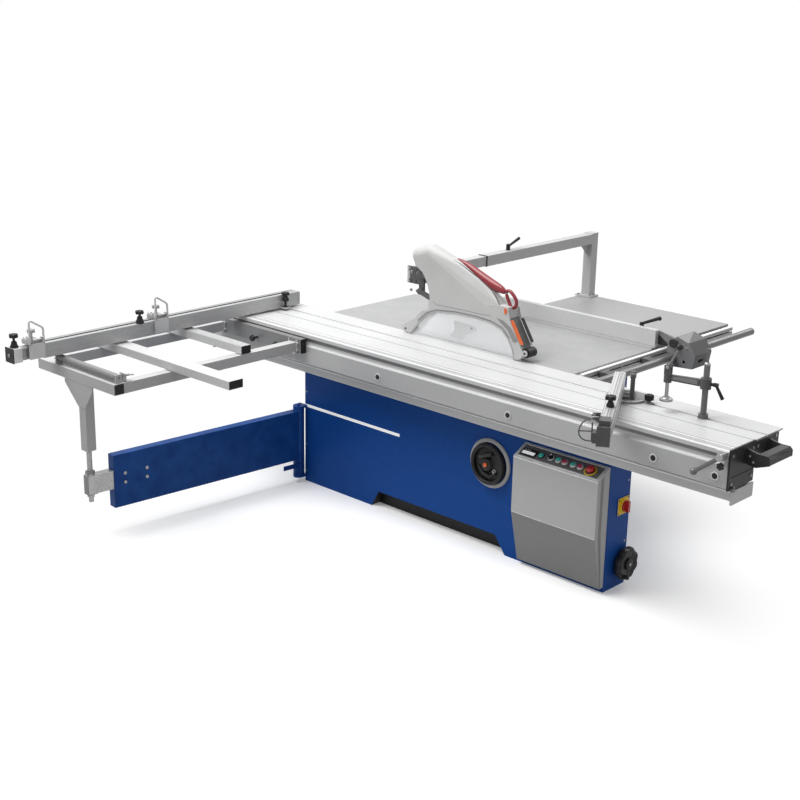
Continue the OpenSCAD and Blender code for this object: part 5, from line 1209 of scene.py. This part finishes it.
@dataclass
class Clamp(SubAssembly):
    """The hold-down clamp on its post."""

    post: tuple[float, float] = (1450.0, -137.0)
    turn: float = math.radians(194)
    reach: float = 164.0
    cam: float = 196.0

    def add_fittings(self) -> None:
        """Adds the foot's pad, the pin heads, the post's cap, the lever's ball and the arm's web."""
        place = swivelled(*self.post, TABLE, self.turn)
        Mould("foot_pad", place).lathe([(24, 0), (28.5, 2), (29, 7), (27, 11), (16, 13), (14, 20), (0, 20)],
                                       (self.reach, 0, 47), sides=40).build(STEEL, "clamp_pad")
        pins = Mould("cam_pin_heads", place)
        for y, out in ((15, 1), (-15, -1)):
            pins.lathe([(7, 0), (7, 2), (5, 3.4), (0, 3.4)], (self.reach, y, self.cam), (0, out, 0), 24)
        pins.build(STEEL, "clamp_head")
        Mould("post_cap", place).lathe([(13.2, 0), (13.2, 6), (10, 9), (6, 9), (5, 10)], (0, 0, 230),
                                       sides=32).build(STEEL, "clamp")
        Mould("cam_ball", place).ball((self.reach - 42.3, 0, self.cam + 90.6), 15, 28).build(
            DARK_STEEL, "clamp_cam")
        ribs = Mould("arm_web", place)
        for y in (-10.6, 8.6):
            ribs.prism([(34, 141), (140, 145), (140, 159), (34, 160)], Axis.Y, y, y + 2)
        ribs.build(CAST, "clamp_head", 0.8)
        paint("clamp_arm", BLACK, (-110, -30, 60), (-24, 30, 220), place)


@dataclass
class Boom(SubAssembly):
    """The post, the boom and the links that carry the guard."""

    def add_fittings(self) -> None:
        """Adds the step of the tube, the bolts of link plate and post, and the caps."""
        Mould("boom_step").box((-251.2, 395, 1176.8), (-193.8, 402, 1234.2)).build(DARK_STEEL, "machine", 0.8)
        paint("boom_inner", CAST_DARK, (-360, -40, 1060), (-262, 30, 1250))
        Mould("link_plate_bolts").bolts([(x, -20.5, z) for x in (-331, -291) for z in (1098, 1190)],
                                        (0, -1, 0), 8, 5).build(STEEL, "boom")
        feet = Mould("post_bolts")
        for x in (-262, -183):
            for y in (1298, 1340):
                feet.lathe([(8, 0), (8, 5), (6.9, 5.6), (0, 5.6)], (x, y, 883), sides=6)
        feet.build(STEEL, "machine")
        Mould("post_cap_plate").box((-251, 1309, 1235.7), (-194, 1366, 1238)).build(GREY, "machine", 0.8)
        Mould("boom_lever_cap").lathe([(11.3, 24), (11.3, 30), (8, 33), (0, 33)], (-222.5, 600, 1233),
                                      sides=28).build(BLACK, "boom_clamp")


@dataclass
class Guard(SubAssembly):
    """The guard moulding with its rims, seams, orange marks and red handle."""

    arch: tuple[tuple[float, float], ...] = (
        (-318, 4), (-301, 15), (-254, 72), (-202, 118), (-142, 142), (-18, 155), (111, 158), (205, 152),
        (268, 135), (313, 96), (343, 44), (352, 4))
    arch_middle: float = 20.0
    face: tuple[float, float] = (37.5, 40.2)
    rollers: tuple[tuple[float, float], ...] = ((418, 46), (-350, 22))

    def lifted(self, line: Sequence[Sequence[float]]) -> list[tuple[float, float]]:
        """Turns heights above the table into heights above the floor."""
        return [(x, TABLE + z) for x, z in line]

    def grown(self, by: float) -> list[tuple[float, float]]:
        """Gives the arch line moved outwards, with heights above the floor."""
        out = [Vector((x - self.arch_middle, z * 2)).normalized() * by for x, z in self.arch]
        return self.lifted([(x + v.x, z + v.y) for (x, z), v in zip(self.arch, out)])

    def add_face(self, name: str, side: int) -> None:
        """Adds the rims, plates and marks of one face.

        Args:
            name: The face's word in the names of the pieces.
            side: -1 for the face towards the user, 1 for the far one.
        """
        y0, y1 = sorted(side * y for y in self.face)
        Mould(f"arch_rim_{name}").band(self.grown(4), 6, Axis.Y, y0, y1).build(RIM, "guard", 0.8, 50)
        # Painted shade: a dark band along the top of the arch, just outside its rim.
        Mould(f"arch_shade_{name}").band(self.grown(13)[2:10], 7, Axis.Y, y0 + 1.4, y1 - 1.4).build(
            SEAM_AND_SHADE, "guard", 0.0, 50)
        plates = (
            ("front_frame", SEAM_AND_SHADE, 0.8, 0.8, (
                (239, 186), (284, 180), (330, 155), (374, 99), (361, 86), (343, 92), (311, 139), (266, 168))),
            ("orange_bar", ORANGE if side < 0 else CAST_DARK, 0.0, 1.0, (
                (328, 184), (333, 191), (345, 192), (408, 94), (408, 86), (398, 84), (386, 92))),
            ("orange_button", ORANGE, -0.6, 1.2, (
                (284, 238), (292, 243), (300, 240), (304, 226), (297, 213), (287, 216))))
        for part, finish, sunk, bevel, line in plates:
            Mould(f"{part}_{name}").prism(self.lifted(line), Axis.Y, y0 + sunk, y1 - sunk).build(
                finish, "guard", bevel)
        edge = [(312, 240), (324, 190), (350, 160), (402, 68)]
        Mould(f"front_edge_{name}").band(self.lifted(edge), 5, Axis.Y, y0 + 1.2, y1 - 1.2).build(SEAM_AND_SHADE, "guard")
        Mould(f"roller_bolts_{name}").bolts([(x, 38 * side, z) for x, z in self.lifted(self.rollers)],
                                            (0, side, 0), 5, 3).build(BLACK, "guard")
        frame = [(-186, 200), (-141, 181), (-65, 184), (52, 186), (143, 186), (205, 190)]
        Mould(f"frame_line_{name}").band(self.lifted(frame), 3, Axis.Y, y0 + 1.6, y1 - 1.6).build(SEAM_AND_SHADE, "guard")

    def add_fittings(self) -> None:
        """Adds the details of both faces, the red handle, the seam, the inner bracket and the outlet's rim."""
        t = TABLE
        self.add_face("near", -1)
        self.add_face("far", 1)
        Mould("front_plate").band(self.lifted([(300, 214), (330, 176), (356, 136), (396, 72)]), 5,
                                  Axis.Y, -33.5, 33.5).build(CAST_DARK, "guard", 1.0)
        self.add_handle()
        seam = ((-60, -20, 418, 0.8), (-11, -19.5, 404, 1.4), (60, -18.5, 373, 2), (104, -17, 353, 2.4),
                (147, -15.5, 329, 2.6), (188, -14.5, 305, 2.6), (222, -21, 276, 2.6), (246, -28, 250, 2.6),
                (250, -30.2, 230, 2.6), (250, -30.4, 200, 2.6))
        Mould("hood_seam").sweep([(x, y, t + z) for x, y, z, _ in seam], [r for *_, r in seam], 10).build(
            CAST_DARK, "guard")
        paint("guard_shell", RIM, (60, -13, t + 200), (262, 30, t + 372), None, (0.55, 0, 0.83))
        paint("guard_shell", RIM, (225, -31, t + 190), (262, 31, t + 262), None, (1, 0, 0.1))
        bracket = ((-71, 108), (-62, 60), (-95, 24), (-14, 20), (18, 56), (74, 76), (76, 100), (30, 104))
        Mould("inner_bracket").prism(self.lifted(bracket), Axis.Y, 10, 13).build(SHELL, "guard", 1.0)
        Mould("inner_bolt").bolt((48, 10, t + 88), (0, -1, 0), 6, 4).build(BLACK, "guard")
        Mould("outlet_collar").lathe([(40.2, 76), (42, 76), (42, 79.6), (40.2, 79.6)], (-284, 0, t + 405),
                                     (0, 1, 0), 48, ring=True).build(RIM, "guard")

    def add_handle(self) -> None:
        """Adds the flat red handle that lies on the ridge and ends in a loop."""
        t = TABLE
        spine = [(-50, 421, 5, 4), (-15, 413, 10, 8), (40, 392, 16, 14), (100, 363, 20, 20), (160, 336, 21, 24),
                 (215, 318, 19, 24), (243, 311, 14, 17), (262, 303, 11, 10)]
        oval = [(math.sin(a) * 0.9, math.cos(a)) for a in (math.tau * i / 20 for i in range(20))]
        handle = Mould("guard_handle_strip").loft(
            [[(x + 0.45 * h * u, w * v, t + z + 2 + h * u) for u, v in oval] for x, z, w, h in spine])
        loop = [(262, 303), (268, 318), (280, 322), (304, 306), (324, 284), (329, 266), (322, 246), (308, 238),
                (294, 244), (282, 262), (270, 286), (262, 303)]
        handle.sweep([(x, 0, t + z) for x, z in loop], [9] * len(loop), 14)
        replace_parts(handle.build(HANDLE_RED, "guard", 0, 60, 1), "guard_handle")


@dataclass
class Rip(SubAssembly):
    """The rip fence with its carrier and clamp."""

    lever: tuple[float, float, float] = (560.0, 715.3, 965.0)
    lever_length: float = 108.0
    lever_turn: float = math.radians(66)

    def add_fittings(self) -> None:
        """Adds the carrier's darker sides, clamp and screws, painted shade in the carrier's slot and the
        fence's slot, the fence's ends, and the ball.
        """
        paint("rip_carrier", CAST_DARK, (830, 650, 800), (915, 820, 900), None, (0.98, 0, -0.1))
        paint("rip_carrier", CAST_DARK, (830, 650, 790), (915, 820, 960), None, (0.55, 0, 0.8))
        paint("rip_carrier", DARK_STEEL, (530, 700, 870), (700, 735, 950))
        # Painted shade in the carrier's slot.
        paint("rip_carrier", BLACK, (842, 600, 820), (858, 730, 850))
        Mould("carrier_clamp").lathe(
            [(9, 0), (9, 14), (21, 15), (24, 18), (24, 30), (21, 34), (8, 34), (7, 32)], (800, 662, 925),
            (0, -1, 0), 36, 12, 0.08).build(DARK_STEEL, "rip_slider")
        Mould("carrier_screws").bolts([(775, 662, 905), (860, 662, 905)], (0, -1, 0), 6, 3).bolts(
            [(585, 739, 925), (640, 739, 925)], (0, 1, 0), 7, 5).build(STEEL, "rip_slider")
        # Painted shade: a black strip in the fence's slot.
        Mould("rip_fence_slot_shade").box((-305, 693.5, 915.6), (666, 694.4, 922.6)).build(BLACK, "rip_rule")
        ends = Mould("rip_fence_ends")
        for x in (-309.8, 668.8):
            ends.box((x, 676, 876.5), (x + 2, 702, 956.5))
        ends.build(SILVER, "rip_rule", 1.0)
        x, y, z = self.lever
        tip = (x + 2 + self.lever_length * math.sin(self.lever_turn), y,
               z + self.lever_length * math.cos(self.lever_turn))
        Mould("rip_lever_ball").ball(tip, 11, 24).build(BLACK, "rip_clamp")


@dataclass
class SawUnit(SubAssembly):
    """The tilting unit below the tables with motor, belt and blades."""

    arbor: tuple[float, float, float] = (0.0, 0.0, 712.0)
    motor: tuple[float, float, float] = (-150.0, 0.0, 562.0)
    teeth: int = 48
    fins: int = 18
    fin_span: tuple[float, float] = (-0.95, 0.72)

    def add_fittings(self) -> None:
        """Adds the teeth of the main blade and the motor's fins."""
        teeth = Mould("main_blade_teeth")
        for k in range(self.teeth):
            teeth.place = Matrix.Translation(self.arbor) @ Matrix.Rotation(math.tau * k / self.teeth, 4, "Y")
            teeth.prism([(150, 0), (157.4, 2), (157.4, 6), (150, 12)], Axis.Y, -1.7, 1.7)
        teeth.build(STEEL, "blade")
        fins = Mould("motor_fins")
        for k in range(self.fins):
            a = math.tau * (k + 0.5) / self.fins
            if self.fin_span[0] < math.sin(a) < self.fin_span[1]:
                fins.place = Matrix.Translation(self.motor) @ Matrix.Rotation(a, 4, "Y")
                fins.box((84, 172, -1.6), (97, 372, 1.6))
        fins.build(MOTOR, "rise_unit", 0.5)


@dataclass
class Studio:
    """The pale floor, the soft lamps and the camera at the photograph's angle."""

    camera_at: tuple[float, float, float] = (4.29913, -5.00249, 2.65633)
    azimuth: float = 43.30
    elevation: float = 17.47
    roll: float = 1.12
    lens: float = 62.38
    ambient: float = 0.42
    middle: tuple[float, float, float] = (0.1, -0.4, 0.0)
    fade: tuple[float, float] = (1.05, 1.9)

    def seen(self, w: Wiring) -> bpy.types.NodeSocket:
        """Adds a mask that is 1 for rays from the camera, from gloss and through glass.

        Args:
            w: The wiring of the tree to add to.

        Returns:
            The socket with the mask.
        """
        path = w.node("LightPath").outputs
        mask = path["Is Camera Ray"]
        for ray in ("Is Glossy Ray", "Is Transmission Ray"):
            mask = w.node("Math", {0: mask, 1: path[ray]}, operation="MAXIMUM").outputs[0]
        return mask

    def add_world(self) -> None:
        """Makes the white world with its even soft light."""
        world = bpy.data.worlds.new("studio_world")
        bpy.context.scene.world = world
        world.use_nodes = True
        w = Wiring(world.node_tree)
        strength = w.node("MapRange", {"Value": self.seen(w), "To Min": self.ambient, "To Max": 1.0})
        w.feed(w.tree.nodes["Background"], {"Color": (1, 1, 1, 1), "Strength": strength.outputs["Result"]})

    def add_floor(self) -> None:
        """Makes the floor, which is white to the camera and keeps the shadow."""
        mesh = bpy.data.meshes.new("studio_floor")
        mesh.from_pydata([(-30, -30, 0), (30, -30, 0), (30, 30, 0), (-30, 30, 0)], [], [(0, 1, 2, 3)])
        floor = bpy.data.objects.new("studio_floor", mesh)
        bpy.context.scene.collection.objects.link(floor)
        mat = bpy.data.materials.new("floor_white")
        mat.use_nodes = True
        w = Wiring(mat.node_tree)
        mask = self.seen(w)
        apart = w.node("VectorMath", {0: w.place(), 1: self.middle}, operation="DISTANCE").outputs["Value"]
        far = w.node("MapRange", {"Value": apart, "From Min": self.fade[0], "From Max": self.fade[1]},
                     interpolation_type="SMOOTHSTEP").outputs["Result"]
        near_tone = w.blend(far, (*grey(0.92), 1), (*grey(0.0), 1))
        glow = w.node("MapRange", {"Value": far, "To Min": 0.16, "To Max": 1.0}).outputs["Result"]
        w.feed(w.tree.nodes["Principled BSDF"], {
            "Roughness": 0.9, "Specular IOR Level": 0.1, "Emission Color": (1, 1, 1, 1),
            "Base Color": w.blend(mask, (*grey(0.34), 1), near_tone), "Emission Strength": w.times(mask, glow)})
        mesh.materials.append(mat)

    def add_lamp(self, name: str, at: Point, aim: Point, size: float, power: float) -> None:
        """Adds one soft square lamp.

        Args:
            name: The lamp's name.
            at: Where it stands, in metres.
            aim: Where it points.
            size: The side of its face.
            power: Its power in watts.
        """
        data = bpy.data.lights.new(name, "AREA")
        data.shape, data.size, data.energy = "SQUARE", size, power
        lamp = bpy.data.objects.new(name, data)
        lamp.location = at
        lamp.rotation_euler = (Vector(aim) - Vector(at)).to_track_quat("-Z", "Y").to_euler()
        bpy.context.scene.collection.objects.link(lamp)

    def add_camera(self) -> None:
        """Puts the camera where the photograph was taken from."""
        az, el, roll = (math.radians(v) for v in (self.azimuth, self.elevation, self.roll))
        ahead = Vector((-math.sin(az) * math.cos(el), math.cos(az) * math.cos(el), -math.sin(el)))
        right = ahead.cross(Vector((0, 0, 1))).normalized()
        up = right.cross(ahead)
        tilted = right * math.cos(roll) + up * math.sin(roll)
        upright = up * math.cos(roll) - right * math.sin(roll)
        data = bpy.data.cameras.new("photo_camera")
        data.lens, data.sensor_width, data.clip_end = self.lens, 36.0, 100.0
        camera = bpy.data.objects.new("photo_camera", data)
        camera.matrix_world = Matrix.Translation(self.camera_at) @ Matrix(
            (tilted, upright, -ahead)).transposed().to_4x4()
        bpy.context.scene.collection.objects.link(camera)
        bpy.context.scene.camera = camera

    def build(self) -> None:
        """Sets the view transform and adds floor, light and camera."""
        bpy.context.scene.view_settings.view_transform = "Standard"
        self.add_world()
        self.add_floor()
        self.add_lamp("key_lamp", (-1.7, -1.7, 5.6), (0.1, -0.1, 0.5), 4.5, 430)
        self.add_lamp("back_lamp", (0.8, 5.5, 4.5), (0, 0.3, 0.6), 3.0, 110)
        self.add_camera()


def main() -> None:
    """Builds the sub-assemblies in order and reports each."""
    logging.basicConfig(level=logging.INFO, format="%(message)s")
    groups: dict[str, SubAssembly] = {
        "cabinet": Cabinet({"cabinet": BLUE, "main_switch": RED, "rise_handwheel": BLACK,
                            "tilt_handwheel": BLACK}, {"cabinet": 1.2}),
        "console": Console({"console": CONSOLE_GREY, "main_start_button": SILVER, "main_stop_button": SILVER,
                            "scorer_start_button": SILVER, "scorer_stop_button": SILVER,
                            "selector_knob": BLACK, "emergency_stop": RED}, {"console": 1.0}),
        "tables": Tables({"main_table": IRON, "extension_table": SHEET, "trunnions": CAST,
                          "rip_rail": ANODISED_Y, "rip_bar": BAR_STEEL},
                         {"main_table": 0.8, "extension_table": 1.0}),
        "carriage": Carriage({"base_rail": ANODISED, "carriage": ANODISED, "push_handle": DARK_STEEL,
                              "lock_lever": BAR_STEEL, "outrigger_mount": CAST},
                             {"push_handle": 1.0, "outrigger_mount": 0.8}),
        "outrigger": Outrigger({"outrigger_frame": GREY, "support_bars": ANODISED, "outrigger_roller": CAST,
                                "swing_arm": BLUE_ARM, "swing_tube": STEEL},
                               {"outrigger_frame": 2.0, "support_bars": 1.0, "swing_arm": 2.0}),
        "crosscut": Crosscut({"crosscut_fence": ANODISED_Y, "fence_extension": STEEL, "flip_stop_1": STEEL,
                              "flip_arch_1": STEEL, "flip_stop_2": STEEL, "flip_arch_2": STEEL},
                             {"crosscut_fence": 0.8, "fence_extension": 1.0}),
        "miter": Miter({"miter_base": CAST, "miter_fence": ANODISED, "miter_flap": DARK_STEEL},
                       {"miter_fence": 0.6}),
        "clamp": Clamp({"clamp_post": BAR_STEEL, "clamp_arm": CAST_DARK, "cam_lever": CAST,
                        "clamp_foot": STEEL}),
        "boom": Boom({"guard_column": GREY, "boom_inner": GREY, "boom_lever": BLACK, "upper_link": CAST_DARK,
                      "lower_link": CAST_DARK}, {"guard_column": 1.5, "boom_inner": 1.2}),
        "guard": Guard({"guard_shell": SHELL, "guard_window": WINDOW, "guard_handle": RED,
                        "front_roller": BLACK, "rear_roller": BLACK}),
        "rip": Rip({"rip_carrier": CAST, "rip_fence": ANODISED, "rip_lever": BLACK},
                   {"rip_carrier": 1.5, "rip_fence": 0.8}),
        "saw_unit": SawUnit({"tilt_frame": CAST, "scoring_blade": STEEL, "arbor_housing": CAST,
                             "main_motor": MOTOR, "riving_knife": STEEL, "drive_belt": RUBBER,
                             "main_blade": STEEL, "motor_pulley": DARK_STEEL}),
    }
    for name, group in groups.items():
        group.build()
        LOG.info("sub-assembly %s: %d nodes", name, len(group.finishes))
    Studio().build()


if __name__ == "__main__":
    main()
